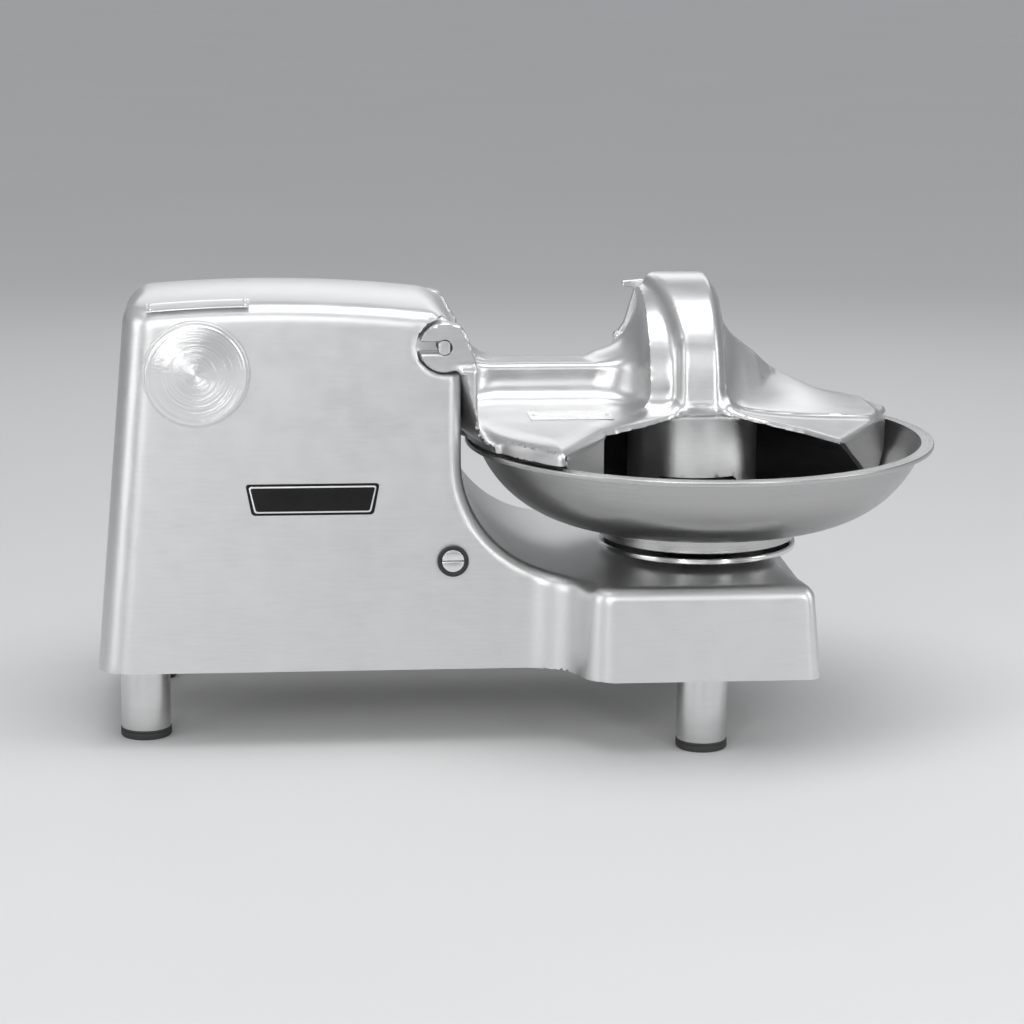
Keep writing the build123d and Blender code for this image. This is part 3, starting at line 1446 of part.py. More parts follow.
def plate_rivets():
    """Rivet heads of the plate on the roof."""
    heads = []
    plate_face = sign_seat + sign_thickness
    proud = crown_body(-plate_face - rivet_height)
    seat = crown_body(-plate_face)
    for x, y in plate_corners(top_plate_size):
        at_x = top_plate_x + x
        at_y = top_plate_y + y
        post = bar((at_x, at_y, hub_z), (at_x, at_y, slant_top_z), rivet_r)
        heads.append((post & proud) - seat)
    return group(heads)


def cover_plate_rivets():
    """Rivet heads at the two ends of the plate on the cover."""
    reach = cover_plate_size[0] / 2 - 2.5 * rivet_r
    low = shelf_z + sign_thickness
    heads = []
    for x in (cover_plate_x - reach, cover_plate_x + reach):
        heads.append(bar((x, cover_plate_y, low), (x, cover_plate_y, low + rivet_height), rivet_r))
    return group(heads)


# ---------------------------------------------------------------- assembly

def all_parts():
    """Every node of the machine, in working coordinates."""
    parts = {
        "housing": housing(),
        "hinge_pins": hinge_pins(),
        "bottom_cover": bottom_cover(),
        "bottom_cover_screws": bottom_cover_screws(),
        "bowl": bowl(),
        "bowl_table": bowl_table(),
        "bowl_drive_pins": drive_pins(),
        "bowl_spindle": bowl_spindle(),
        "bowl_worm_wheel": worm_wheel(),
        "worm_shaft": worm_shaft(),
        "spindle_bearings": spindle_bearings(),
        "gear_frame": gear_frame(),
        "worm_bearings": worm_bearings(),
        "worm_post": worm_post(),
        "reduction_gear": reduction_gear(),
        "motor_pinion": motor_pinion(),
        "motor_body": motor_body(),
        "motor_cradle": motor_cradle(),
        "motor_shaft": motor_shaft(),
        "motor_pulley": belt_pulley(motor_y, motor_z, motor_shaft_r),
        "knife_pulley": belt_pulley(shaft_y, shaft_z, knife_shaft_r),
        "drive_belt": drive_belt(),
        "knife_arm": knife_arm(),
        "knife_bearings": knife_bearings(),
        "bearing_posts": bearing_posts(),
        "arm_shaft_seal": shaft_seal(),
        "knife_shaft": knife_shaft(),
        "knife_hub_sleeve": knife_hub(),
        "knife_blade_inner": knife_blade(knife_left_x, 0),
        "knife_blade_outer": knife_blade(knife_left_x + knife_thickness, 180),
        "knife_nut": knife_nut(),
        "hub_socket": hub_socket(),
        "hub_ring": hub_ring(),
        "hub_cap": hub_cap(),
        "hub_shaft": hub_shaft(),
        "hub_worm_wheel": hub_wheel(),
        "bowl_cover": bowl_cover(),
        "comb_plate": comb_plate(),
        "latch_lever": latch_lever(),
        "latch_pin": latch_pin(),
        "button_bezel": button_bezel(),
        "start_button": half_button(1),
        "stop_button": half_button(-1),
        "switch_box": switch_box(),
        "interlock_switch": interlock_switch(),
        "cable_gland": cable_gland(),
        "front_plate": badge(),
        "top_plate": top_plate(),
        "housing_plate_rivets": plate_rivets(),
        "cover_plate": cover_plate(),
        "cover_plate_rivets": cover_plate_rivets(),
    }
    for name, (x, y) in leg_places().items():
        parts["leg_" + name] = leg(x, y)
        parts["foot_" + name] = foot(x, y)
    return parts


def centred(parts):
    """All parts moved so that the middle of the whole footprint is the origin."""
    boxes = [part.bounding_box() for part in parts.values()]
    middle_x = (min(b.min.X for b in boxes) + max(b.max.X for b in boxes)) / 2
    middle_y = (min(b.min.Y for b in boxes) + max(b.max.Y for b in boxes)) / 2
    low_z = min(b.min.Z for b in boxes)
    print("origin moved to", round(middle_x, 4), round(middle_y, 4), round(low_z, 4))
    shift = Pos(-middle_x, -middle_y, -low_z)
    return {name: group([shift * solid for solid in part.solids()]) for name, part in parts.items()}


os.makedirs("parts", exist_ok=True)
for name, part in centred(all_parts()).items():
    export_step(part, "parts/" + name + ".step")
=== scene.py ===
# %% [markdown]
# # A table-top meat bowl cutter, dressed in Blender
#
# The machine is a cast housing on four short legs. A stainless bowl turns on a low
# pedestal, and a hinged cast cover hides the knives that sweep through the bowl.
# The construction model gives every place and every joint. This lesson adds what a
# construction model leaves out: soft casting edges, a rolled bowl rim, spun and
# brushed finishes, rivets, screws, and light to see them in.

import math

import bmesh
import bpy
import numpy as np
from mathutils import Matrix, Vector


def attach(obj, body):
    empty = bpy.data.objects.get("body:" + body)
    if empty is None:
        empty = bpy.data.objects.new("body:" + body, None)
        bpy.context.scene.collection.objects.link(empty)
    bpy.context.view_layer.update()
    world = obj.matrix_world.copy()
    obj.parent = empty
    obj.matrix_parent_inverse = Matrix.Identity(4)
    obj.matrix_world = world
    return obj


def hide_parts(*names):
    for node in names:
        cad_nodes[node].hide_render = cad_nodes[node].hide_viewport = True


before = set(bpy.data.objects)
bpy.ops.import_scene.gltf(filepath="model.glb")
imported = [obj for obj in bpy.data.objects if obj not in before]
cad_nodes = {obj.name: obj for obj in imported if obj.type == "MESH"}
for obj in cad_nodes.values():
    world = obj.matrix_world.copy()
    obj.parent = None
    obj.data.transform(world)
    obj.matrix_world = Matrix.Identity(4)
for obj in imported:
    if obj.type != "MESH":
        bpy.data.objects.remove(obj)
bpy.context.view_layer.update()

# %% [markdown]
# ## Axes and units
#
# The drawing of this machine puts the axis of the bowl at X = 0, so all the sizes
# below are in millimetres from there. The loaded model is in metres and its origin
# is the middle of the footprint, 186 mm to the left of the bowl. One small function
# turns drawing points into scene points, and it is used for every piece.

# %% Drawing millimetres to scene metres
BOWL_FROM_MIDDLE = 186.0


def to_scene(points):
    """Drawing points in millimetres as scene points in metres."""
    moved = np.asarray(points, float).reshape(-1, 3).copy()
    moved[:, 0] += BOWL_FROM_MIDDLE
    return moved * 0.001


def scene_place(x, y, z):
    return Vector(to_scene([(x, y, z)])[0])


print("bowl axis stands at", tuple(round(v, 4) for v in scene_place(0, 0, 0)))

# %% [markdown]
# ## Camera
#
# A long lens from nearly straight in front, a little above the rim of the bowl, keeps
# the long housing from bulging. The camera is written as its place and its three
# directions, because that is exact and needs no target object. Nothing moves the
# frame sideways, so the lens shift stays at zero.

# %% Camera
camera_data = bpy.data.cameras.new("product_camera")
camera_data.sensor_fit = "HORIZONTAL"
camera_data.sensor_width = 36.0
camera_data.lens = 102.65
camera_data.clip_end = 200.0
camera = bpy.data.objects.new("product_camera", camera_data)
bpy.context.scene.collection.objects.link(camera)
camera_right = Vector((0.99611, -0.08795, 0.00598)).normalized()
camera_up = Vector((0.01299, 0.21351, 0.97685)).normalized()
camera_back = camera_right.cross(camera_up).normalized()
turn = Matrix((camera_right, camera_up, camera_back)).transposed().to_4x4()
camera.matrix_world = Matrix.Translation(scene_place(-453.378, -2918.923, 853.182)) @ turn
bpy.context.scene.camera = camera
print("camera at", tuple(round(v, 3) for v in camera.location))

# %% [markdown]
# ## Studio: floor, world and soft boxes
#
# Polished metal looks like what stands round it, so the studio matters as much as
# the material. A wide pale floor and a pale sky give the even tone of the panels.
# Large soft boxes above and at both sides give the long bright bands that tell the
# eye where a casting bends. A light grey world keeps the shadows open.

# %% Studio
bpy.context.scene.view_settings.view_transform = "Standard"
world = bpy.data.worlds.new("studio")
bpy.context.scene.world = world
world.use_nodes = True
world_nodes = world.node_tree.nodes
world_links = world.node_tree.links
background = world_nodes["Background"]
sky_way = world_nodes.new("ShaderNodeTexCoord")
sky_split = world_nodes.new("ShaderNodeSeparateXYZ")
sky_ramp = world_nodes.new("ShaderNodeValToRGB")
sky_ramp.color_ramp.elements[0].position = 0.35
sky_ramp.color_ramp.elements[0].color = (0.20, 0.205, 0.21, 1)
sky_ramp.color_ramp.elements[1].position = 0.95
sky_ramp.color_ramp.elements[1].color = (0.62, 0.63, 0.65, 1)
sky_lift = world_nodes.new("ShaderNodeMath")
sky_lift.operation = "MULTIPLY_ADD"
sky_lift.inputs[1].default_value = 0.5
sky_lift.inputs[2].default_value = 0.5
world_links.new(sky_way.outputs["Generated"], sky_split.inputs[0])
world_links.new(sky_split.outputs["Z"], sky_lift.inputs[0])
world_links.new(sky_lift.outputs[0], sky_ramp.inputs[0])
world_links.new(sky_ramp.outputs["Color"], background.inputs["Color"])
background.inputs["Strength"].default_value = 0.9


def soft_box(name, place, target, size, watts):
    """A rectangular lamp that faces a target."""
    lamp = bpy.data.lights.new(name, "AREA")
    lamp.shape = "RECTANGLE"
    lamp.size, lamp.size_y = size
    lamp.energy = watts
    holder = bpy.data.objects.new(name, lamp)
    bpy.context.scene.collection.objects.link(holder)
    holder.location = place
    holder.rotation_mode = "QUATERNION"
    holder.rotation_quaternion = (Vector(target) - Vector(place)).to_track_quat("-Z", "Y")
    return holder


soft_box("overhead_box", (0.1, -0.3, 2.2), (0.0, 0.0, 0.3), (1.9, 0.9), 20)
soft_box("left_box", (-2.3, -1.2, 1.0), (0.0, 0.0, 0.3), (1.0, 2.0), 12)
soft_box("right_box", (2.3, -0.9, 1.2), (0.1, 0.0, 0.3), (0.8, 2.0), 12)
soft_box("front_box", (-0.4, -3.4, 1.9), (0.0, 0.0, 0.25), (1.6, 1.0), 12)
soft_box("rear_box", (0.3, 2.4, 1.6), (0.0, 0.0, 0.35), (2.6, 0.8), 9)
soft_box("left_strip", (-0.95, -2.6, 1.0), (0.1, 0.0, 0.25), (0.16, 1.6), 9)
soft_box("right_strip", (1.25, -2.3, 1.0), (0.2, 0.0, 0.25), (0.20, 1.6), 9)

# %% [markdown]
# ## Writing shader maths as sums
#
# A finish is mostly arithmetic: a scratch pattern times a mask, plus a little wear.
# Node trees hide that arithmetic, so a small class wraps one socket and lets Python
# operators add the Math nodes. `Finish` holds one material and has a single method
# that makes any other node from its type, its settings and its sockets.

# %% Socket arithmetic
class Signal:
    """One number that varies over a surface."""

    def __init__(self, finish, socket):
        self.finish = finish
        self.socket = socket

    def join(self, operation, a, b):
        node = self.finish.node("ShaderNodeMath", {"operation": operation}, {0: a, 1: b})
        return Signal(self.finish, node.outputs[0])

    def __add__(self, other):
        return self.join("ADD", self, other)

    __radd__ = __add__

    def __sub__(self, other):
        return self.join("SUBTRACT", self, other)

    def __rsub__(self, other):
        return self.join("SUBTRACT", other, self)

    def __mul__(self, other):
        return self.join("MULTIPLY", self, other)

    __rmul__ = __mul__

    def __truediv__(self, other):
        return self.join("DIVIDE", self, other)

    def __pow__(self, other):
        return self.join("POWER", self, other)

    def at_most(self, other):
        return self.join("MINIMUM", self, other)

    def at_least(self, other):
        return self.join("MAXIMUM", self, other)


class Finish:
    """A material of this machine while it is being mixed."""

    def __init__(self, name):
        self.material = bpy.data.materials.new(name)
        self.material.use_nodes = True
        self.tree = self.material.node_tree
        self.shader = self.tree.nodes["Principled BSDF"]

    def node(self, kind, settings=None, sockets=None):
        """Any node: its settings first, then values or links for its sockets."""
        made = self.tree.nodes.new(kind)
        for name, value in (settings or {}).items():
            setattr(made, name, value)
        for key, value in (sockets or {}).items():
            self.feed(made.inputs[key], value)
        return made

    def feed(self, socket, value):
        if isinstance(value, Signal):
            value = value.socket
        if isinstance(value, bpy.types.NodeSocket):
            self.tree.links.new(value, socket)
        else:
            socket.default_value = value

    def signal(self, node, output=0):
        return Signal(self, node.outputs[output])

    def place(self, turned=(0, 0, 0), centre=(0, 0, 0), stretch=(1, 1, 1)):
        """Object coordinates, moved to a centre, turned and stretched."""
        way = self.node("ShaderNodeTexCoord").outputs["Object"]
        moved = self.node("ShaderNodeVectorMath", {"operation": "SUBTRACT"}, {0: way, 1: centre})
        settings = {"vector_type": "POINT"}
        sockets = {"Vector": moved.outputs[0], "Rotation": turned, "Scale": stretch}
        return self.node("ShaderNodeMapping", settings, sockets).outputs[0]

    def grain(self, vector, scale, detail=2.0, rough=0.5):
        """Noise between 0 and 1 at a scale."""
        sockets = {"Vector": vector, "Scale": scale, "Detail": detail, "Roughness": rough}
        return self.signal(self.node("ShaderNodeTexNoise", None, sockets), "Fac")

    def between(self, value, low, high):
        """A value stretched so that low is 0 and high is 1, and held there."""
        sockets = {"Value": value, "From Min": low, "From Max": high}
        return self.signal(self.node("ShaderNodeMapRange", {"clamp": True}, sockets))

    def blend(self, share, first, second):
        """A colour between two, by share."""
        mix = self.node("ShaderNodeMix", {"data_type": "RGBA"})
        self.feed(mix.inputs["Factor"], share)
        self.feed(mix.inputs[6], first)
        self.feed(mix.inputs[7], second)
        return mix.outputs[2]

    def rings(self, centre, axis):
        """Distance from an axis through a centre, and height along it."""
        way = self.place(centre=centre)
        split = self.node("ShaderNodeSeparateXYZ", None, {0: way})
        parts = [self.signal(split, i) for i in range(3)]
        height = parts.pop("XYZ".index(axis))
        radius = (parts[0] * parts[0] + parts[1] * parts[1]) ** 0.5
        return radius, height

    def vector(self, x, y, z):
        return self.node("ShaderNodeCombineXYZ", None, {0: x, 1: y, 2: z}).outputs[0]

    def worn(self):
        """The edge wear painted on a piece's points, 0 on pieces that have none."""
        node = self.node("ShaderNodeAttribute", {"attribute_name": "edge_wear"})
        return self.signal(node, "Fac")

    def finish(self, colour, roughness, metallic=1.0, relief=None, depth=0.0005):
        self.feed(self.shader.inputs["Base Color"], colour)
        self.feed(self.shader.inputs["Roughness"], roughness)
        self.feed(self.shader.inputs["Metallic"], metallic)
        if relief is not None:
            sockets = {"Height": relief, "Strength": 1.0, "Distance": depth}
            bump = self.node("ShaderNodeBump", None, sockets)
            self.feed(self.shader.inputs["Normal"], bump.outputs[0])
        return self.material


print("shader maths is ready")

# %% [markdown]
# ## The finishes
#
# Four of them do most of the work. The castings are burnished aluminium: bright,
# soft, with faint hairlines and cloudy tone. The bowl is spun stainless, darker, with
# fine rings round its axis that draw every highlight into an upright band. The hub
# disc is turned on a lathe, so its rings lie round its own centre. The legs are
# ground tube. All the patterns are worked out from Object coordinates in metres.

# %% Burnished castings
def grey(level, warm=0.0):
    return (level * (1 + warm), level, level * (1 - warm), 1.0)


def burnished(name, tone, stretch, rough=0.25):
    """Cast aluminium, blasted and burnished along one direction."""
    paint = Finish(name)
    cloud = paint.grain(paint.place(), 7.0, 3.0)
    fine_cloud = paint.grain(paint.place(), 46.0, 3.0)
    hairline = paint.grain(paint.place(stretch=stretch), 420.0, 3.0, 0.6)
    pores = paint.between(paint.grain(paint.place(), 900.0, 1.0), 0.68, 0.78)
    wear = paint.worn()
    shade = paint.between(0.7 * cloud + 0.3 * fine_cloud, 0.3, 0.7)
    body = paint.blend(shade, grey(tone * 0.93), grey(tone * 1.03))
    brushed = paint.blend(paint.between(hairline, 0.35, 0.65) * 0.5, body, grey(tone * 1.05))
    specked = paint.blend(pores * 0.25, brushed, grey(tone * 0.72))
    colour = paint.blend(wear * 0.7, specked, grey(tone * 1.13))
    roughness = rough + 0.09 * (fine_cloud - 0.5) + 0.10 * (hairline - 0.5) - 0.07 * wear
    relief = 0.7 * hairline + 0.3 * fine_cloud - 0.4 * pores
    return paint.finish(colour, roughness, 1.0, relief, 0.000012)


housing_metal = burnished("burnished_housing", 0.70, (0.10, 1.0, 1.0), 0.38)
cover_metal = burnished("burnished_cover", 0.66, (0.10, 0.5, 1.0), 0.33)
fitting_metal = burnished("burnished_fitting", 0.70, (1.0, 0.12, 1.0), 0.34)
print("castings:", housing_metal.name, cover_metal.name, fitting_metal.name)

# %% [markdown]
# ## Spun, turned and ground metal
#
# A tool held against a turning sheet leaves rings. In the shader that is noise read
# only from the distance to the axis and the height, so it can't vary round the ring.
# A second, slow noise in plain space breaks the rings a little, as polishing does.

# %% Ring-marked metal
def ringed(name, tone, centre, axis, pitch, rough=0.24, depth=0.00003, waves=0.3, stretch=0.0):
    """Metal with tool rings round an axis."""
    paint = Finish(name)
    radius, height = paint.rings(centre, axis)
    track = paint.vector(radius, height, 0.0)
    fine = paint.grain(track, 1.0 / pitch, 2.0, 0.7)
    broad = paint.grain(track, 0.12 / pitch, 2.0)
    cloud = paint.grain(paint.place(), 12.0, 2.0)
    wear = paint.worn()
    shade = paint.between(0.5 * fine + 0.3 * broad + 0.2 * cloud, 0.3, 0.7)
    body = paint.blend(shade, grey(tone * 0.88), grey(tone * 1.08))
    colour = paint.blend(wear * 0.6, body, grey(min(tone * 1.25, 0.95)))
    roughness = rough + 0.12 * (fine - 0.5) + 0.08 * (cloud - 0.5) - 0.05 * wear
    paint.shader.inputs["Anisotropic"].default_value = stretch
    return paint.finish(colour, roughness, 1.0, (1 - waves) * fine + waves * broad, depth)


bowl_axis = tuple(scene_place(0, 0, 0))
hub_axis = tuple(scene_place(-510.6, 0, 375))
shaft_axis = tuple(scene_place(0, 118, 323))
bowl_metal = ringed("spun_bowl_stainless", 0.49, bowl_axis, "Z", 0.0011, 0.30, 0.00003, 0.3, 0.8)
table_metal = ringed("turned_table_steel", 0.66, bowl_axis, "Z", 0.0009, 0.20)
disc_metal = ringed("turned_hub_disc", 0.84, hub_axis, "Y", 0.0007, 0.20, 0.00022, 0.0)
shaft_metal = ringed("turned_shaft_steel", 0.55, shaft_axis, "X", 0.0010, 0.25)
print("ring-marked:", bowl_metal.name, disc_metal.name)


# %% Ground tube, plates and small steel parts
def ground(name, tone, stretch, rough=0.3, warm=0.0, scale=380.0):
    """Plain ground or rolled metal with a straight grain."""
    paint = Finish(name)
    line = paint.grain(paint.place(stretch=stretch), scale, 3.0, 0.6)
    cloud = paint.grain(paint.place(), 22.0, 3.0)
    wear = paint.worn()
    shade = paint.between(0.6 * line + 0.4 * cloud, 0.3, 0.7)
    body = paint.blend(shade, grey(tone * 0.85, warm), grey(tone * 1.08, warm))
    colour = paint.blend(wear * 0.6, body, grey(min(tone * 1.3, 0.95), warm))
    roughness = rough + 0.14 * (line - 0.5) + 0.1 * (cloud - 0.5) - 0.06 * wear
    return paint.finish(colour, roughness, 1.0, line, 0.00003)


leg_metal = ground("ground_leg_tube", 0.60, (0.04, 0.04, 1.0), 0.24)
plate_metal = ground("etched_label_plate", 0.78, (0.02, 1.0, 1.0), 0.34)
blade_metal = ground("ground_knife_steel", 0.66, (1.0, 1.0, 0.05), 0.2)
zinc_metal = ground("zinc_plated_steel", 0.58, (1.0, 1.0, 1.0), 0.38, 0.0, 160.0)
bronze_metal = ground("worm_wheel_bronze", 0.42, (1.0, 1.0, 0.1), 0.35, 0.38)
iron_metal = ground("cast_iron", 0.16, (1.0, 1.0, 1.0), 0.6, 0.05, 260.0)
button_metal = ground("push_button_metal", 0.74, (0.05, 1.0, 1.0), 0.3)
print("straight-grained:", leg_metal.name, plate_metal.name, blade_metal.name)

# %% [markdown]
# ## Rubber, plastic and enamel
#
# These are not metal, so their tone comes from a diffuse colour. Rubber is dusty and
# dull, moulded plastic has a fine leather-like texture, and enamel is a smooth glossy
# coat that pools slightly darker. Each still varies in colour, roughness and relief.

# %% Rubber, plastic and enamel
def moulded(name, dark, light, scale, rough, depth, coat=0.0, shine=0.4):
    """A non-metal surface with a grain."""
    paint = Finish(name)
    grit = paint.grain(paint.place(), scale, 4.0, 0.6)
    cloud = paint.grain(paint.place(), 18.0, 2.0)
    wear = paint.worn()
    shade = paint.between(0.5 * grit + 0.5 * cloud, 0.3, 0.7)
    body = paint.blend(shade, dark, light)
    colour = paint.blend(wear * 0.35, body, tuple(min(c * 2.2, 1.0) for c in light[:3]) + (1.0,))
    roughness = rough + 0.16 * (cloud - 0.5) + 0.1 * (grit - 0.5)
    paint.shader.inputs["Coat Weight"].default_value = coat
    paint.shader.inputs["Specular IOR Level"].default_value = shine
    return paint.finish(colour, roughness, 0.0, grit, depth)


rubber = moulded("black_foot_rubber", grey(0.014), grey(0.034), 700.0, 0.62, 0.00006)
plastic = moulded("black_moulded_plastic", grey(0.010), grey(0.022), 500.0, 0.38, 0.00005)
enamel = moulded("black_badge_enamel", grey(0.004), grey(0.009), 200.0, 0.32, 0.00001, 0.0, 0.2)
motor_paint = moulded("motor_grey_paint", grey(0.16), grey(0.21), 300.0, 0.42, 0.00004, 0.2)
print("non-metals:", rubber.name, plastic.name, enamel.name, motor_paint.name)

# %% [markdown]
# ## How a casting gets its form
#
# A casting has no sharp edge anywhere: the mould needs draft, and every corner is
# rounded so that metal flows and sand doesn't break. Bevelling a finished mesh fails
# where many surfaces meet. Instead the casting is written as a distance field: one
# number for every point in space, below zero inside the metal. Fields join and cut
# with minimum and maximum, and a circular fillet is one more term.

# %% Distance field helpers
def blend_max(a, b, r):
    """Where two fields overlap, with their meeting edge rounded to a radius."""
    return np.minimum(np.maximum(a, b), -r) + np.hypot(np.maximum(a + r, 0), np.maximum(b + r, 0))


def blend_min(a, b, r):
    """Two fields joined, with a hollow fillet of a radius along their meeting line."""
    return np.maximum(np.minimum(a, b), r) - np.hypot(np.maximum(r - a, 0), np.maximum(r - b, 0))


def soft_max(a, b, k):
    """An edge eased over a width, for surfaces that meet at a shallow angle."""
    near = np.maximum(k - abs(a - b), 0) / k
    return np.maximum(a, b) + near * near * k / 4


def soft_min(a, b, k):
    """A hollow eased over a width, for surfaces that meet at a shallow angle."""
    return -soft_max(-a, -b, k)


def outline(px, py, corners):
    """Signed distance to a closed polygon, negative inside."""
    best = None
    inside = None
    for i, (x1, y1) in enumerate(corners):
        x0, y0 = corners[i - 1]
        ex, ey = x1 - x0, y1 - y0
        wx, wy = px - x0, py - y0
        t = np.clip((wx * ex + wy * ey) / (ex * ex + ey * ey), 0, 1)
        gap = (wx - ex * t) ** 2 + (wy - ey * t) ** 2
        crosses = ((y0 <= py) & (py < y1)) | ((y1 <= py) & (py < y0))
        side = (wx * ey - wy * ex) * (1 if ey > 0 else -1) < 0
        flip = crosses & side
        best = gap if best is None else np.minimum(best, gap)
        inside = flip if inside is None else inside ^ flip
    return np.where(inside, -1.0, 1.0) * np.sqrt(best)


def brick(x, y, z, low, high):
    """Signed distance to a box between two corners."""
    middle = [(a + b) / 2 for a, b in zip(low, high)]
    half = [(b - a) / 2 for a, b in zip(low, high)]
    gaps = [abs(p - m) - h for p, m, h in zip((x, y, z), middle, half)]
    return np.maximum(np.maximum(gaps[0], gaps[1]), gaps[2])


print("a 10 mm fillet between two walls:", round(float(blend_min(np.array(3.0), np.array(3.0), 10.0)), 2))

# %% [markdown]
# ## From field to mesh
#
# Marching cubes rounds every crisp edge by half a cell. Dual contouring keeps them: it
# puts one point in each cell that the surface crosses, at the place that best fits the
# tangent planes found on the cell's edges. The points are then slid onto the surface,
# and one face joins the four cells round every crossed edge. The surface comes out in
# even four-sided faces, which shade smoothly.

# %% Dual contouring
def slope(field, x, y, z, step=0.15):
    """Unit direction in which a field grows, and the field itself."""
    gx = field(x + step, y, z) - field(x - step, y, z)
    gy = field(x, y + step, z) - field(x, y - step, z)
    gz = field(x, y, z + step) - field(x, y, z - step)
    way = np.stack([gx, gy, gz], axis=1)
    length = np.linalg.norm(way, axis=1, keepdims=True)
    return way / np.maximum(length, 1e-9), length[:, 0] / (2 * step)


def contour(field, low, high, cell):
    """Points and four-sided faces of the surface where a field is zero."""
    axes = [np.arange(a, b + cell, cell) for a, b in zip(low, high)]
    grid = np.meshgrid(*axes, indexing="ij", sparse=True)
    shape = tuple(len(a) for a in axes)
    value = np.broadcast_to(field(*grid), shape)
    inside = value < 0
    cells = tuple(n - 1 for n in shape)
    count = cells[0] * cells[1] * cells[2]
    total = {key: np.zeros(count) for key in range(13)}
    corner_of = np.stack(np.unravel_index(np.arange(count), cells), axis=1)
    quads = []
    for axis in range(3):
        first = [slice(None)] * 3
        second = [slice(None)] * 3
        first[axis] = slice(0, -1)
        second[axis] = slice(1, None)
        crossed = inside[tuple(first)] != inside[tuple(second)]
        others = [a for a in range(3) if a != axis]
        for a in others:
            edge = [slice(None)] * 3
            edge[a] = [0, -1]
            crossed[tuple(edge)] = False
        at = np.stack(np.nonzero(crossed), axis=1)
        far = at.copy()
        far[:, axis] += 1
        v0 = value[tuple(at.T)]
        v1 = value[tuple(far.T)]
        point = np.stack([axes[a][at[:, a]] for a in range(3)], axis=1).astype(float)
        point[:, axis] += cell * v0 / (v0 - v1)
        way, _ = slope(field, *point.T)
        dot = (way * point).sum(1)
        corners = []
        for da, db in ((0, 0), (1, 0), (1, 1), (0, 1)):
            home = at.copy()
            home[:, others[0]] -= da
            home[:, others[1]] -= db
            index = (home[:, 0] * cells[1] + home[:, 1]) * cells[2] + home[:, 2]
            corners.append(index)
            pairs = ((0, 0), (1, 1), (2, 2), (0, 1), (0, 2), (1, 2))
            for key, (a, b) in enumerate(pairs):
                total[key] += np.bincount(index, way[:, a] * way[:, b], count)
            for a in range(3):
                total[6 + a] += np.bincount(index, way[:, a] * dot, count)
                total[9 + a] += np.bincount(index, point[:, a], count)
            total[12] += np.bincount(index, minlength=count)
        quad = np.stack(corners, axis=1)
        flipped = (v0 < 0) != (axis == 1)
        quad[flipped] = quad[flipped][:, ::-1]
        quads.append(quad)
    used = np.nonzero(total[12])[0]
    part = {key: total[key][used] for key in total}
    matrix = np.empty((len(used), 3, 3))
    for key, (a, b) in enumerate(((0, 0), (1, 1), (2, 2), (0, 1), (0, 2), (1, 2))):
        matrix[:, a, b] = matrix[:, b, a] = part[key]
    middle = np.stack([part[9 + a] / part[12] for a in range(3)], axis=1)
    want = np.stack([part[6 + a] for a in range(3)], axis=1)
    rest = want - np.einsum("nab,nb->na", matrix, middle)
    matrix += np.eye(3) * 0.08 * part[12][:, None, None]
    point = middle + np.linalg.solve(matrix, rest[:, :, None])[:, :, 0]
    floor_of = corner_of[used] * cell + np.array(low)
    for _ in range(3):
        point = np.clip(point, floor_of, floor_of + cell)
        way, steep = slope(field, *point.T)
        off = field(*point.T) / np.maximum(steep, 0.5)
        point -= way * np.clip(off, -cell / 4, cell / 4)[:, None]
    renumber = np.full(count, -1)
    renumber[used] = np.arange(len(used))
    return point, renumber[np.concatenate(quads)]


def paint_edge_wear(mesh, reach=3):
    """Marks points where the surface bends sharply outwards, spread over a few rings."""
    mesh.update()
    size = len(mesh.vertices)
    co = np.empty(size * 3)
    mesh.vertices.foreach_get("co", co)
    co = co.reshape(-1, 3)
    normal = np.empty(size * 3)
    mesh.vertex_normals.foreach_get("vector", normal)
    normal = normal.reshape(-1, 3)
    edges = np.empty(len(mesh.edges) * 2, int)
    mesh.edges.foreach_get("vertices", edges)
    edges = edges.reshape(-1, 2)
    run = co[edges[:, 1]] - co[edges[:, 0]]
    length = np.linalg.norm(run, axis=1)
    bend = ((normal[edges[:, 1]] - normal[edges[:, 0]]) * run).sum(1) / np.maximum(length**2, 1e-12)
    share = np.clip(bend * 0.006, 0, 1)
    count = np.bincount(edges.ravel(), minlength=size).clip(1)
    wear = np.bincount(edges.ravel(), np.repeat(share, 2), size) / count
    for _ in range(reach):
        spread = (wear[edges[:, 0]] + wear[edges[:, 1]]) / 2
        wear = 0.5 * wear + 0.5 * np.bincount(edges.ravel(), np.repeat(spread, 2), size) / count
    layer = mesh.attributes.new("edge_wear", "FLOAT", "POINT")
    layer.data.foreach_set("value", np.clip(wear * 1.6, 0, 1).astype(np.float32))


def as_piece(name, points, faces, material, sharp=40.0):
    """A scene object from drawing points, smooth except at its sharp edges."""
    mesh = bpy.data.meshes.new(name)
    mesh.from_pydata(to_scene(points).tolist(), [], [list(map(int, f)) for f in faces])
    mesh.validate()
    return dressed(name, mesh, material, sharp)


def dressed(name, mesh, material, sharp=40.0):
    """A mesh as a finished object: shading, edge wear and its material."""
    mesh.polygons.foreach_set("use_smooth", [True] * len(mesh.polygons))
    mesh.set_sharp_from_angle(angle=math.radians(sharp))
    paint_edge_wear(mesh)
    mesh.materials.clear()
    mesh.materials.append(material)
    piece = bpy.data.objects.new(name, mesh)
    bpy.context.scene.collection.objects.link(piece)
    return piece


def triangles(piece):
    return sum(len(p.vertices) - 2 for p in piece.data.polygons)


print("contouring is ready")

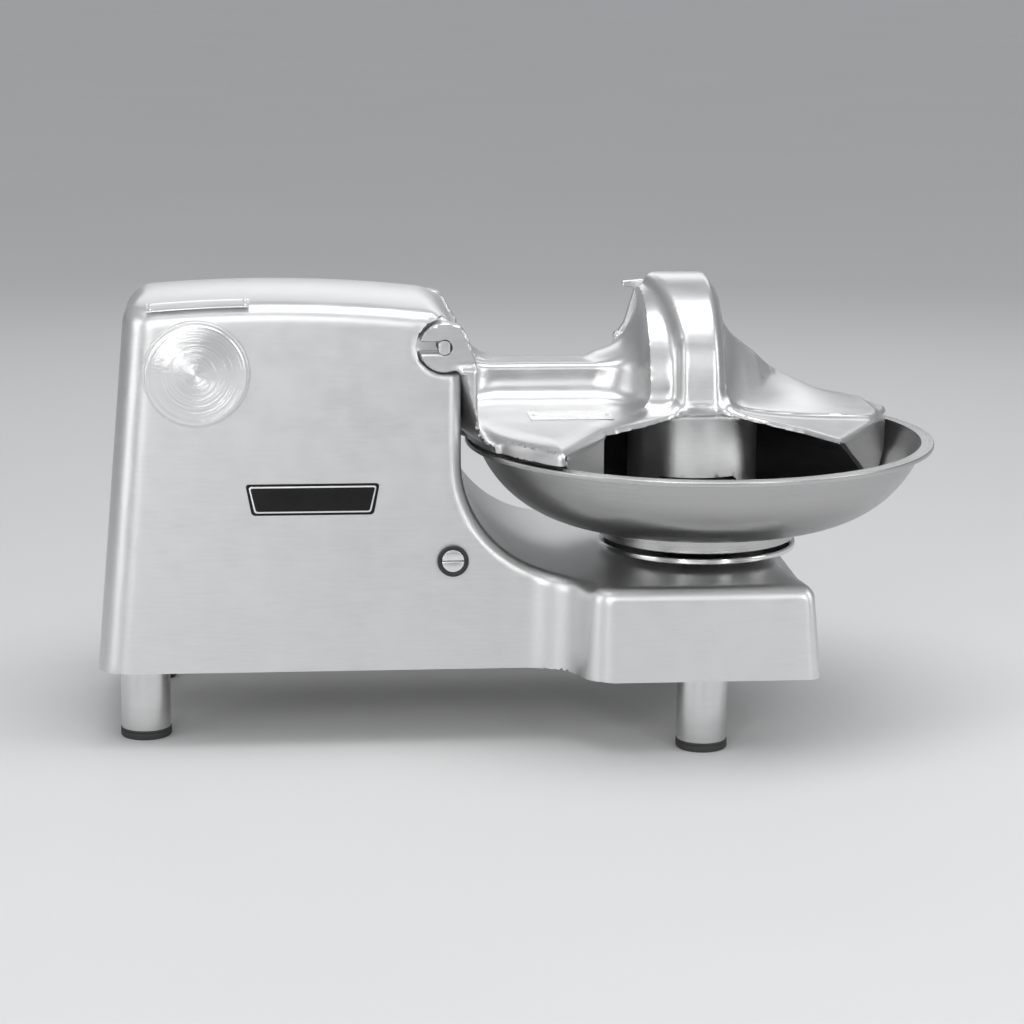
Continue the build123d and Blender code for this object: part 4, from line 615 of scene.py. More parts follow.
# %% [markdown]
# ## The housing casting
#
# The base is one casting: a tall motor housing at the left, a wide saddle that sweeps
# down, and a low pedestal under the bowl that stands further forward. All its walls
# lean in, so that it would leave the mould. Its roof is crowned both ways. The plan,
# the side outline and the roof are three fields, and their overlap is the casting.

# %% Housing: walls
BASE_Z = 77.0
SIDE_DRAFT = math.radians(5.0)
FRONT_DRAFT = math.radians(3.3)
PANEL_Y = -115.0
PEDESTAL_Y = -177.0
BACK_Y = 222.0
SWEEP_X = -188.0
SWEEP_HOLLOW = 55.0
SWEEP_ROUND = 33.0


def front_wall(x, y, z):
    """Front panel, the S-shaped sweep and the pedestal front, as one leaning wall."""
    lean = (z - BASE_Z) * math.tan(FRONT_DRAFT)
    hollow = SWEEP_HOLLOW + lean
    round_r = SWEEP_ROUND - lean
    both = SWEEP_HOLLOW + SWEEP_ROUND
    angle = math.acos(1 - (PANEL_Y - PEDESTAL_Y) / both)
    hollow_y = PANEL_Y + lean - hollow
    round_x = SWEEP_X + both * math.sin(angle)
    round_y = hollow_y + both * math.cos(angle)
    from_hollow = hollow - np.hypot(x - SWEEP_X, y - hollow_y)
    from_round = np.hypot(x - round_x, y - round_y) - round_r
    left_of_line = (y - hollow_y) * math.sin(angle) > (x - SWEEP_X) * math.cos(angle)
    sweep = np.where(left_of_line, from_hollow, from_round)
    wall = np.where(x <= SWEEP_X, PANEL_Y + lean - y, sweep)
    wall = np.where(x >= round_x, PEDESTAL_Y + lean - y, wall)
    return wall * math.cos(FRONT_DRAFT)


def housing_walls(x, y, z):
    rise = z - BASE_Z
    front = front_wall(x, y, z)
    back = (y - BACK_Y + rise * math.tan(FRONT_DRAFT)) * math.cos(FRONT_DRAFT)
    left = (-612.0 + rise * math.tan(SIDE_DRAFT) - x) * math.cos(SIDE_DRAFT)
    right = (x - 101.0 + rise * math.tan(SIDE_DRAFT)) * math.cos(SIDE_DRAFT)
    left_half = blend_max(blend_max(left, front, 30.0), back, 30.0)
    right_half = blend_max(blend_max(right, front, 11.0), back, 30.0)
    return np.maximum(left_half, right_half), front


# %% Housing: side outline and crowned roof
def side_outline(x, z):
    """Pedestal top, saddle and the steep right wall of the motor housing."""
    slant = ((x + 251.0) * 42.0 + (z - 408.0) * 32.0) / math.hypot(42.0, 32.0)
    tower = blend_max(x + 251.0 + 0 * z, slant, 8.0)
    return blend_min(z - 170.0 + 0 * x, tower, 115.0)


def crowned_roof(x, y, z):
    """Roof that climbs from the front, arches and falls to the back."""
    crest = 452.12
    low_axis = crest - 1420.0
    height = low_axis + np.hypot(x + 443.0, z - low_axis)
    climb, fall, arch = math.radians(16.0), math.radians(9.0), 340.0
    arch_y = -94.0 + arch * math.sin(climb)
    arch_z = 439.0 - arch * math.cos(climb)
    end_y = arch_y + arch * math.sin(fall)
    front = (height - 439.0 - (y + 94.0) * math.tan(climb)) * math.cos(climb)
    middle = np.hypot(y - arch_y, height - arch_z) - arch
    end_z = arch_z + arch * math.cos(fall)
    back = (height - end_z + (y - end_y) * math.tan(fall)) * math.cos(fall)
    return np.where(y < -94.0, front, np.where(y > end_y, back, middle))


def housing_form(x, y, z):
    """The outside of the casting, without its open bottom."""
    walls, front = housing_walls(x, y, z)
    upper = blend_max(side_outline(x, z), crowned_roof(x, y, z), 10.0)
    from_front = np.clip((-front - 18.0) / 50.0, 0, 1)
    return blend_max(walls, upper, 13.0 + 11.0 * from_front)


print("housing height at its crest:", round(float(crowned_roof(-443.0, 0.0, 452.0)), 2), "mm from the roof")

# %% [markdown]
# ## Hollow inside, with holes and hinge pockets
#
# The wall is left by taking the same form away again, drawn in by the wall thickness.
# Bosses stand behind the hinge pockets and over the legs. Holes let the bowl spindle,
# the knife arm, the button, the attachment hub and the cord gland through.

# %% Housing: shell
HOUSING_WALL = 9.0
HINGE_X, HINGE_Z = -268.0, 399.0
POCKET_R = 26.5
NECK_OPEN = (0.925, 0.378)


def housing_field(x, y, z):
    form = housing_form(x, y, z)
    shell = np.maximum(form, -(form + HOUSING_WALL))
    from_hinge = np.hypot(x - HINGE_X, z - HINGE_Z)
    front_boss = np.maximum(from_hinge - POCKET_R - 8.0, y + 71.0)
    rear_boss = np.maximum(from_hinge - POCKET_R - 8.0, 166.0 - y)
    bosses = np.minimum(front_boss, rear_boss)
    for leg_x, leg_y in ((-567, -58), (-567, 165), (-12.7, -138), (-12.7, 165)):
        boss = np.maximum(np.hypot(x - leg_x, y - leg_y) - 24.0, z - 111.0)
        bosses = np.minimum(bosses, boss)
    body = np.minimum(shell, np.maximum(bosses, form))
    body = np.maximum(body, BASE_Z - z)
    side_way = np.maximum(HINGE_X - x, np.maximum(HINGE_Z - POCKET_R - z, z - HINGE_Z))
    along_neck = (x - HINGE_X) * NECK_OPEN[0] + (z - HINGE_Z) * NECK_OPEN[1]
    off_neck = (z - HINGE_Z) * NECK_OPEN[0] - (x - HINGE_X) * NECK_OPEN[1] - POCKET_R
    swing_way = np.maximum(np.maximum(-along_neck, off_neck), HINGE_Z - z)
    side_way = np.minimum(side_way, swing_way)
    pocket = np.minimum(from_hinge - POCKET_R, side_way)
    pockets = np.maximum(pocket, np.minimum(y + 79.0, 174.0 - y))
    holes = np.maximum(np.hypot(x, y) - 15.2, 120.0 - z)
    holes = np.minimum(holes, np.maximum(np.hypot(y - 118.0, z - 323.0) - 22.2, -275.0 - x))
    hub_hole = np.maximum(np.hypot(x + 510.6, z - 375.0) - 38.2, y)
    button_hole = np.maximum(np.hypot(x + 260.0, z - 187.0) - 12.4, y + 60.0)
    gland_hole = np.maximum(np.hypot(x + 470.0, z - 128.0) - 7.8, 180.0 - y)
    for hole in (hub_hole, button_hole, gland_hole):
        holes = np.minimum(holes, hole)
    return blend_max(np.maximum(body, -holes), -pockets, 4.0)


points, faces = contour(housing_field, (-622, -187, 66), (112, 232, 466), 5.0)
housing = as_piece("housing_casting", points, faces, housing_metal)
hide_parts("housing")
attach(housing, "base")
print("housing:", len(points), "points,", triangles(housing), "triangles")

# %% [markdown]
# ## The cover casting
#
# The cover is the showpiece: a level round shelf, a box over the knife arm, a tall
# arch over the knives, and two trumpet-shaped flanks that pour from the arch into the
# wings. The flanks are turned about the knife shaft, so they are fields of only two
# numbers, the place along the shaft and the distance from it.

# %% Cover: shelf, arm box and arch
COVER_WALL = 5.0
RIM_R = 236.0
SHAFT_Y, SHAFT_Z = 118.0, 323.0
FRONT_EDGE = [(-206, -270), (-106, -72), (-71, -43), (-31, -7), (-19, 6), (26, 6), (40, -7), (66, -23)]
RIGHT_EDGE = [(100, -56), (127, -106), (168, -22), (205, 60), (222, 114)]
BEHIND = [(326, 114), (326, 326), (-326, 326), (-326, -270)]
COVER_PLAN = FRONT_EDGE + RIGHT_EDGE + BEHIND


def shelf_level(x, y, plan):
    """Height of the shelf: crowned at its left edge, falling to the rim at the right."""
    away = 1 - np.exp(-np.maximum(abs(x - 10.0) - 30.0, 0) / 50.0)
    inside = np.clip(1 + np.maximum(np.hypot(x, y) - RIM_R, plan) / 28.0, 0, 1)
    return 314.0 - away * np.where(x > 10.0, 12.0, 7.0 * inside**2)


def cover_shelf(x, y, z, plan, level):
    """Shelf with a rolled lip round the bowl and along its open edge."""
    shelf = blend_max(np.hypot(x, y) - RIM_R, z - level, 7.0)
    shelf = blend_max(shelf, plan, 4.5)
    side = brick(x, y, z, (-247.5, -101, 240), (-160, 202, 300))
    return soft_min(shelf, side, 6.0)


def arm_box(x, y, z):
    """Hood over the knife arm: upright front, flat top, leaning back."""
    front = 76.0 - y
    back = ((y - 176.0) * 71.5 + (z - 335.0) * 12.0) / math.hypot(71.5, 12.0)
    shoulder = (y - 152.0) * 0.6 + (z - 353.0) * 0.8
    section = blend_max(front, z - 353.0, 7.0)
    section = blend_max(blend_max(section, shoulder, 14.0), back, 14.0)
    return np.maximum(section, np.maximum(-247.5 - x, x))


ARCH_PLAN = [(-18, -21.5), (-18, 20), (-42, 118), (-36, 145), (-36, 235.2), (24, 235.2), (24, -21.5)]


def knife_arch(x, y, z):
    """Round hood over the knives with a flat face towards the front."""
    tilt = math.radians(8.0)
    round_top = np.hypot(y - SHAFT_Y, z - SHAFT_Z) - 119.5
    face = -(y - SHAFT_Y) * math.cos(tilt) + (z - SHAFT_Z) * math.sin(tilt) - 117.5
    return blend_max(soft_max(round_top, face, 7.0), outline(x, y, ARCH_PLAN), 8.0)


# %% Cover: flanks and the falling right wing
def flank(x, y, z, start, end, hollow_x, hollow_r, hollow):
    """A trumpet turned about the knife shaft."""
    radius = np.hypot(y - SHAFT_Y, z - SHAFT_Z)
    ends = np.maximum(start - x, x - end)
    disc = blend_max(ends, radius - 104.0, 6.0)
    return np.maximum(disc, hollow - np.hypot(x - hollow_x, radius - hollow_r))


def right_wing(x, y, z, plan, level):
    """Wing that falls from the arch to the rim, highest over the knife shaft."""
    share = np.clip((x - 60.0) / 130.0, 0, 1)
    crest = np.maximum(303.2 + 57.5 * (1 - share) ** 1.35, level)
    rim_y = np.sqrt(np.maximum(RIM_R**2 - x * x, 1.0))
    climb = np.clip((y - 20.0) / 98.0, 0, 1)
    fall = np.clip((y - SHAFT_Y) / np.maximum(rim_y - SHAFT_Y, 10.0), 0, 1)
    front, back = level + (crest - level) * climb, crest - (crest - 302.0) * fall**1.6
    height = np.where(y < SHAFT_Y, front, back)
    wing = np.maximum((z - height) * 0.9, np.maximum(5.0 - x, x - 190.0))
    wing = np.maximum(wing, 20.0 - y)
    return blend_max(wing, np.maximum(np.hypot(x, y) - RIM_R, plan), 8.0)


def cover_form(x, y, z, spread=0.0):
    """The outside of the cover, its open edge moved outwards by a spread."""
    plan = outline(x, y, COVER_PLAN) - spread
    level = shelf_level(x, y, plan + spread)
    form = cover_shelf(x, y, z, plan, level)
    form = soft_min(form, arm_box(x, y, z), 32.0)
    form = soft_min(form, right_wing(x, y, z, plan, level), 16.0)
    arch = knife_arch(x, y, z)
    left_flank = flank(x, y, z, -110.0, -5.0, -122.0, 100.0, 74.0)
    right_flank = flank(x, y, z, 11.0, 95.0, 149.2, 127.1, 122.7)
    arch = soft_min(soft_min(arch, left_flank, 14.0), right_flank, 14.0)
    ease = np.clip(3.0 + 1.2 * np.minimum(x + 110.0, 92.0 - x), 3.0, 22.0)
    return soft_min(form, arch, ease)


print("cover height over the knives:", round(float(cover_form(0.0, 118.0, 442.0)), 2), "mm from the surface")

# %% [markdown]
# ## End wall, hinge lugs, apron and deflectors
#
# An upright wall closes the cover beside the housing. Two lugs with open slots hook
# over flatted pins, so a raised cover can be lifted off for washing. Inside, a curved
# apron stands in front of the knives, and two plates turn the meat back to the middle.

# %% Cover: end wall, lugs and hanging plates
def end_wall(x, y, z):
    wall = brick(x, y, z, (-247.5, -100, 293.5), (-241, 202, 372))
    sweep = (z - 347.0 - 0.021 * np.maximum(-200.0 - x, 0) ** 2) * 0.6
    crest = np.maximum(brick(x, y, z, (-247.5, 106, 300), (-200, 190, 384)), sweep)
    notch = np.hypot(y - SHAFT_Y, z - SHAFT_Z) - 25.0
    notch = np.minimum(notch, np.maximum(abs(y - SHAFT_Y) - 25.0, z - SHAFT_Z))
    notch = np.maximum(notch, x + 205.0)
    return wall, crest, notch


def hinge_lug(x, y, z, start, radius):
    top = (HINGE_X + 0.6 * radius, HINGE_Z + 0.78 * radius)
    neck = [(-268, 399), (-247.5, 368.6), (-247.5, 293.5), (-237, 293.5), (-237, 386), top]
    from_pin = np.hypot(x - HINGE_X, z - HINGE_Z)
    plate = blend_min(from_pin - radius, outline(x, z, neck), 6.0)
    slab = np.maximum(start - y, y - start - 20.0)
    lug = blend_max(plate, slab, 1.5)
    slot = np.maximum(x - HINGE_X, abs(z - HINGE_Z) - 6.0)
    return np.maximum(lug, -np.minimum(slot, from_pin - 7.25))


def strip(start, end):
    """Plan outline of a standing plate, its thickness towards the back."""
    run = np.subtract(end, start)
    off = np.array((-run[1], run[0])) / np.hypot(*run) * COVER_WALL
    return [tuple(start), tuple(end), tuple(end + off), tuple(start + off)]


LEFT_PLATE = strip((-156.0, -171.0), (-106.0, -72.0))
RIGHT_PLATE = strip((127.0, -106.0), (205.0, 50.0))


def hanging_plates(x, y, z):
    from_axis = np.hypot(x, y)
    trough = np.hypot(from_axis - SHAFT_Y, z - SHAFT_Z) - 111.0
    free = np.minimum(trough, np.maximum(from_axis - 40.8, 245.0 - z))
    apron = abs(np.hypot(x - 3.0, y - 66.0) - 65.5) - 2.5
    apron_top = 310.0 + 10.0 * np.clip((30.0 - abs(x - 3.0)) / 12.0, 0, 1)
    apron = np.maximum(apron, np.maximum(y - 66.0, z - apron_top))
    left = np.maximum(outline(x, y, LEFT_PLATE), z - 303.0)
    right = np.maximum(outline(x, y, RIGHT_PLATE), z - 300.0)
    cut = -((y + 106.0) * 60.0 + (z - 305.0) * 106.0) / math.hypot(60.0, 106.0)
    right = np.maximum(right, cut)
    return np.maximum(np.minimum(apron, np.minimum(left, right)), free)


def front_left_corner(x, y, z):
    """Flared corner that draws the foot of the front lug in to the rim of the bowl."""
    reach = 240.0 + 27.3 * np.clip((z - 300.0) / 72.0, 0, 1) ** 0.45
    reach = reach + 0.3 * np.clip(y + 20.0, 0, 100)
    near_corner = (z < 372.0) & (x < -150.0) & (y < 60.0)
    return np.where(near_corner, np.hypot(x, y) - reach, -60.0)


def cover_field(x, y, z):
    form = cover_form(x, y, z)
    inside = cover_form(x, y, z, 34.0) + COVER_WALL
    shell = np.maximum(np.maximum(form, 293.5 - z), -inside)
    wall, crest, notch = end_wall(x, y, z)
    body = np.maximum(soft_min(shell, wall, 36.0), 293.5 - z)
    body = np.maximum(soft_min(body, crest, 5.0), -notch)
    body = soft_min(body, hanging_plates(x, y, z), 4.0)
    body = soft_min(body, hinge_lug(x, y, z, -101.0, 24.5), 14.0)
    body = np.maximum(body, front_left_corner(x, y, z))
    return np.minimum(body, hinge_lug(x, y, z, 176.0, 18.5))


points, faces = contour(cover_field, (-298, -176, 206), (236, 244, 450), 2.8)
cover = as_piece("cover_casting", points, faces, cover_metal)
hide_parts("bowl_cover")
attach(cover, "cover")
print("cover:", len(points), "points,", triangles(cover), "triangles")

# %% [markdown]
# ## Spinning a profile
#
# The bowl, its drive plate, the hub disc, the feet and the legs are all round. A
# profile of radius and height is turned into rings of points. Corners of the profile
# are rounded first, because light catches even a half-millimetre edge.

# %% Round pieces
def soften_corners(corners, radius, closed=True, steps=5):
    """A run of 2-D corners with each one rounded."""
    run = []
    count = len(corners)
    for i, here in enumerate(corners):
        here = np.array(here, float)
        if not closed and i in (0, count - 1):
            run.append(tuple(here))
            continue
        before = np.array(corners[i - 1], float) - here
        after = np.array(corners[(i + 1) % count], float) - here
        reach = min(radius, np.linalg.norm(before) * 0.45, np.linalg.norm(after) * 0.45)
        start = here + before / np.linalg.norm(before) * reach
        end = here + after / np.linalg.norm(after) * reach
        for k in range(steps + 1):
            t = k / steps
            run.append(tuple((1 - t) ** 2 * start + 2 * t * (1 - t) * here + t * t * end))
    return run


def arc_run(centre, radius, start, end, steps):
    """Points along an arc, angles in degrees."""
    angles = np.radians(np.linspace(start, end, steps))
    return [(centre[0] + radius * math.cos(a), centre[1] + radius * math.sin(a)) for a in angles]


def spun_rings(profile, closed, segments):
    """Points and faces of a profile turned about its height axis."""
    points = []
    rows = []
    for radius, height in profile:
        if radius < 1e-6:
            rows.append([len(points)])
            points.append((0.0, 0.0, height))
            continue
        rows.append(list(range(len(points), len(points) + segments)))
        for k in range(segments):
            a = 2 * math.pi * k / segments
            points.append((radius * math.cos(a), radius * math.sin(a), height))
    faces = []
    pairs = list(zip(rows, rows[1:])) + ([(rows[-1], rows[0])] if closed else [])
    for low, high in pairs:
        for k in range(segments):
            m = (k + 1) % segments
            if len(low) == 1 and len(high) == 1:
                continue
            if len(low) == 1:
                faces.append((low[0], high[m], high[k]))
            elif len(high) == 1:
                faces.append((low[k], low[m], high[0]))
            else:
                faces.append((low[k], low[m], high[m], high[k]))
    return points, faces


AXES = {
    "X": Matrix(((0, 0, 1), (0, 1, 0), (-1, 0, 0))),
    "Y": Matrix(((1, 0, 0), (0, 0, 1), (0, -1, 0))),
    "Z": Matrix.Identity(3),
}


def outward(points, faces):
    """A mesh of drawing points with every face turned outwards."""
    work = bmesh.new()
    corners = [work.verts.new(p) for p in to_scene(points)]
    for face in faces:
        work.faces.new([corners[i] for i in face])
    bmesh.ops.recalc_face_normals(work, faces=work.faces)
    mesh = bpy.data.meshes.new("round_piece")
    work.to_mesh(mesh)
    work.free()
    return mesh


def spun(name, profiles, centre, axis, material, segments=144, sharp=40.0):
    """One piece from one or more (profile, closed) pairs, turned about an axis."""
    points = []
    faces = []
    for profile, closed in profiles:
        ring_points, ring_faces = spun_rings(profile, closed, segments)
        first = len(points)
        faces += [tuple(i + first for i in face) for face in ring_faces]
        points += [tuple(AXES[axis] @ Vector(p) + Vector(centre)) for p in ring_points]
    return dressed(name, outward(points, faces), material, sharp)


def settle(piece, body, slot, *nodes):
    """Gives a piece its body, hides the nodes it stands for, and reports it; the slot is not used."""
    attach(piece, body)
    if nodes:
        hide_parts(*nodes)
    print(piece.name, "rides on", body, "with", triangles(piece), "triangles")
    return piece


# %% [markdown]
# ## The bowl
#
# The bowl is pressed and spun from stainless sheet. Its trough is a ring with the
# round section that the knife tips sweep, its hub rises in the middle, and its rim is
# turned outwards and down. A foot ring welded underneath rests over the drive plate.

# %% Bowl
TROUGH_R = 114.0
SHEET = 2.5
inside_arc = arc_run((SHAFT_Y, SHAFT_Z), TROUGH_R, -134.7, -16.8, 64)
outside_arc = arc_run((SHAFT_Y, SHAFT_Z), TROUGH_R + SHEET, -17.9, -129.4, 64)
hub_top = [(0, 242.0), (33.0, 242.0), (36.2, 241.4)]
rim = soften_corners([(227.2, 289.9), (240.0, 290.0), (240.0, 285.0), (237.4, 285.0), (237.4, 287.1), (229.0, 287.1)], 1.3, False)
boss = [(30.0, 226.0), (30.0, 190.0), (14.1, 190.0), (14.1, 228.0), (0, 228.0)]
foot_ring = soften_corners([(100.0, 187.5), (100.0, 209.2), (96.0, 209.2), (96.0, 187.5)], 1.2)
bowl_profile = hub_top + inside_arc + rim + outside_arc + boss
bowl = spun("spun_bowl", [(bowl_profile, False), (foot_ring, True)], (0, 0, 0), "Z", bowl_metal, 256, 30.0)
settle(bowl, "bowl_drive", "bowl_stainless", "bowl")

table_corners = [(14.0, 176.6), (101.7, 176.6), (101.7, 183.0), (26.0, 183.0), (26.0, 190.0), (14.0, 190.0)]
table = spun("bowl_drive_plate", [(soften_corners(table_corners, 2.2), True)], (0, 0, 0), "Z", table_metal, 192)
settle(table, "bowl_drive", "machined_steel", "bowl_table")

# %% [markdown]
# ## Legs and feet, repeated with Geometry Nodes
#
# Four equal legs are one shape put in four places, which is what instancing is for.
# The tree takes the shape to repeat and a material by name, sets one copy on every
# point of a small mesh, and makes the copies real so that they can be exported. The
# same tree later sets the rivets and the screws.

# %% A tree that sets copies on points
def repeat_tree():
    """Geometry Nodes: one copy of an object on each point, leaning by one angle."""
    tree = bpy.data.node_groups.new("copies_on_points", "GeometryNodeTree")
    face = tree.interface
    face.new_socket("Geometry", in_out="INPUT", socket_type="NodeSocketGeometry")
    face.new_socket("Shape", in_out="INPUT", socket_type="NodeSocketObject")
    face.new_socket("Lean", in_out="INPUT", socket_type="NodeSocketVector")
    face.new_socket("Size", in_out="INPUT", socket_type="NodeSocketFloat")
    face.new_socket("Material", in_out="INPUT", socket_type="NodeSocketMaterial")
    face.new_socket("Geometry", in_out="OUTPUT", socket_type="NodeSocketGeometry")
    start = tree.nodes.new("NodeGroupInput")
    end = tree.nodes.new("NodeGroupOutput")
    shape = tree.nodes.new("GeometryNodeObjectInfo")
    copies = tree.nodes.new("GeometryNodeInstanceOnPoints")
    real = tree.nodes.new("GeometryNodeRealizeInstances")
    paint = tree.nodes.new("GeometryNodeSetMaterial")
    link = tree.links.new
    link(start.outputs["Shape"], shape.inputs["Object"])
    link(start.outputs["Geometry"], copies.inputs["Points"])
    link(shape.outputs["Geometry"], copies.inputs["Instance"])
    link(start.outputs["Lean"], copies.inputs["Rotation"])
    link(start.outputs["Size"], copies.inputs["Scale"])
    link(copies.outputs["Instances"], real.inputs["Geometry"])
    link(real.outputs["Geometry"], paint.inputs["Geometry"])
    link(start.outputs["Material"], paint.inputs["Material"])
    link(paint.outputs["Geometry"], end.inputs["Geometry"])
    return tree


COPIES = repeat_tree()


def copies(name, shape, places, material, lean=(0, 0, 0), size=1.0):
    """A plain mesh piece with one copy of a shape at each drawing place."""
    seeds = bpy.data.meshes.new(name + "_places")
    seeds.from_pydata(to_scene(places).tolist(), [], [])
    holder = bpy.data.objects.new(name + "_holder", seeds)
    bpy.context.scene.collection.objects.link(holder)
    modifier = holder.modifiers.new("copies", "NODES")
    modifier.node_group = COPIES
    values = {"Shape": shape, "Lean": lean, "Size": size, "Material": material}
    for item in COPIES.interface.items_tree:
        if item.in_out == "INPUT" and item.name in values:
            modifier[item.identifier] = values[item.name]
    view = bpy.context.evaluated_depsgraph_get()
    mesh = bpy.data.meshes.new_from_object(holder.evaluated_get(view))
    mesh.name = name
    bpy.data.objects.remove(holder)
    bpy.data.objects.remove(shape)
    return dressed(name, mesh, material)


def shape_at_origin(name, profiles, segments):
    """A round shape in metres about its own origin, to be copied."""
    points = []
    faces = []
    for profile, closed in profiles:
        ring_points, ring_faces = spun_rings(profile, closed, segments)
        first = len(points)
        faces += [tuple(i + first for i in face) for face in ring_faces]
        points += [(p[0] - BOWL_FROM_MIDDLE, p[1], p[2]) for p in ring_points]
    shape = bpy.data.objects.new(name, outward(points, faces))
    bpy.context.scene.collection.objects.link(shape)
    return shape


# %% Legs and feet
LEG_PLACES = [(-567.0, -58.0, 0), (-567.0, 165.0, 0), (-12.7, -138.0, 0), (-12.7, 165.0, 0)]
LEG_NAMES = ["front_left", "rear_left", "front_right", "rear_right"]
tube = [(22.5, 9.0), (25.0, 9.0), (25.0, 77.0), (6.0, 77.0), (6.0, 102.0)]
leg_profile = soften_corners(tube, 0.7, False) + [(0, 102.0), (0, 72.0), (22.5, 72.0)]
leg_shape = shape_at_origin("leg_shape", [(leg_profile, True)], 96)
legs = copies("leg_tubes", leg_shape, LEG_PLACES, leg_metal)
settle(legs, "base", "leg_metal", *["leg_" + n for n in LEG_NAMES])
sole = [(0, 0), (24.6, 0), (25.6, 1.4), (25.6, 5.6), (25.0, 6.2), (25.0, 6.9), (25.6, 7.5), (25.6, 9.0), (22.4, 9.0), (22.4, 18.0), (0, 18.0)]
foot_shape = shape_at_origin("foot_shape", [(soften_corners(sole, 0.5, False), False)], 96)
feet = copies("rubber_feet", foot_shape, LEG_PLACES, rubber)
settle(feet, "base", "black_rubber", *["foot_" + n for n in LEG_NAMES])

# %% [markdown]
# ## Attachment hub
#
# A turned disc covers the socket for grinders and slicers. Its face keeps the rings
# of the lathe, which throw light in fans, and its edge is rounded. It sits in a trim
# ring that stands a little proud of the leaning panel.

# %% Hub disc and ring
HUB = (-510.6, 0.0, 375.0)
disc_face = soften_corners([(0, -109.0), (49.4, -109.0), (49.4, -104.2), (31.6, -104.2)], 1.8, False)
disc_plug = [(31.6, -90.0), (25.6, -90.0), (25.6, -104.0), (0, -104.0)]
disc = spun("hub_disc", [(disc_face + disc_plug, False)], HUB, "Y", disc_metal, 160, 30.0)
settle(disc, "hub_cap", "burnished_aluminium", "hub_cap")
ring_corners = [(38.0, -104.0), (52.0, -104.0), (52.0, -86.0), (38.0, -86.0)]
ring = spun("hub_trim_ring", [(soften_corners(ring_corners, 1.2), True)], HUB, "Y", fitting_metal, 160)
settle(ring, "base", "burnished_aluminium", "hub_ring")

# %% [markdown]
# ## Prisms with soft edges
#
# Flat parts are cut from plate: an outline, a thickness and a small rounded edge. One
# helper builds them on any plane. The plane of the leaning front panel is worked out
# from its draft, so what is fixed to it sits flat.

# %% Plates and prisms
def panel_plane(x, z):
    """A frame on the front panel: its own X, its own Y up the panel, its Z outwards."""
    lean = FRONT_DRAFT
    place = Vector((x, PANEL_Y + (z - BASE_Z) * math.tan(lean), z))
    out = Vector((0, -math.cos(lean), math.sin(lean)))
    across = Vector((1, 0, 0))
    turn = Matrix((across, out.cross(across), out)).transposed().to_4x4()
    return Matrix.Translation(place) @ turn


def prism(name, corners, low, high, plane, material, edge=0.4, steps=3):
    """A plate from a 2-D outline between two heights above a plane."""
    work = bmesh.new()
    base = [work.verts.new((x, y, low)) for x, y in corners]
    bottom = work.faces.new(base)
    lifted = bmesh.ops.extrude_face_region(work, geom=[bottom])
    top = [v for v in lifted["geom"] if isinstance(v, bmesh.types.BMVert)]
    bmesh.ops.translate(work, verts=top, vec=(0, 0, high - low))
    bmesh.ops.recalc_face_normals(work, faces=work.faces)
    sharp_edges = [e for e in work.edges if e.calc_face_angle(0) > math.radians(30)]
    bmesh.ops.bevel(work, geom=sharp_edges, offset=edge, segments=steps, profile=0.5, affect="EDGES")
    bmesh.ops.triangulate(work, faces=[f for f in work.faces if len(f.verts) > 4])
    for v in work.verts:
        v.co = Vector(to_scene(plane @ v.co)[0])
    mesh = bpy.data.meshes.new(name)
    work.to_mesh(mesh)
    work.free()
    return dressed(name, mesh, material, 32.0)


def softened(name, node, material, width, sharp=32.0):
    """A copy of a construction node with merged points and rounded edges."""
    mesh = cad_nodes[node].data.copy()
    work = bmesh.new()
    work.from_mesh(mesh)
    bmesh.ops.remove_doubles(work, verts=work.verts, dist=0.000002)
    flat = math.radians(0.6)
    bmesh.ops.dissolve_limit(work, angle_limit=flat, verts=work.verts, edges=work.edges)
    work.to_mesh(mesh)
    work.free()
    holder = bpy.data.objects.new(name + "_holder", mesh)
    bpy.context.scene.collection.objects.link(holder)
    rounder = holder.modifiers.new("rounded edges", "BEVEL")
    rounder.width = width * 0.001
    rounder.segments = 3
    rounder.limit_method = "ANGLE"
    rounder.angle_limit = math.radians(sharp)
    view = bpy.context.evaluated_depsgraph_get()
    finished = bpy.data.meshes.new_from_object(holder.evaluated_get(view))
    bpy.data.objects.remove(holder)
    return dressed(name, finished, material, sharp)


# %% [markdown]
# ## Push button
#
# One round button in two halves: the upper starts the machine, the lower stops it.
# The halves are plain satin metal in a glossy black ring. Each half slides by itself,
# so they are two pieces with a fine gap between them.

# %% Button and its ring
BUTTON = panel_plane(-260.0, 187.0)
bezel_corners = [(11.7, -6.0), (12.3, -6.0), (12.3, 0.05), (15.6, 0.05), (15.6, 5.0), (11.7, 5.0)]
bezel_points, bezel_faces = spun_rings(soften_corners(bezel_corners, 1.4), True, 96)
bezel_points = [tuple(BUTTON @ Vector(p)) for p in bezel_points]
bezel = dressed("button_ring", outward(bezel_points, bezel_faces), plastic, 40.0)
settle(bezel, "base", "black_plastic", "button_bezel")
for side, node in ((1, "start_button"), (-1, "stop_button")):
    bow = arc_run((0, 0), 11.4, 2.1, 177.9, 40)
    half = [(x, side * y) for x, y in bow][:: side]
    key = prism(node + "_key", half, -12.0, 3.5, BUTTON, button_metal, 0.7)
    settle(key, node, "button_metal", node)

# %% [markdown]
# ## Plates and rivets
#
# The front carries a tapered black plate with a bright inner line, left blank. A thin
# blank strip follows the roof, and another lies on the shelf of the cover. Both are
# held by small domed rivets, which are copies of one spun head.

# %% Front badge
BADGE = panel_plane(-398.0, 250.0)


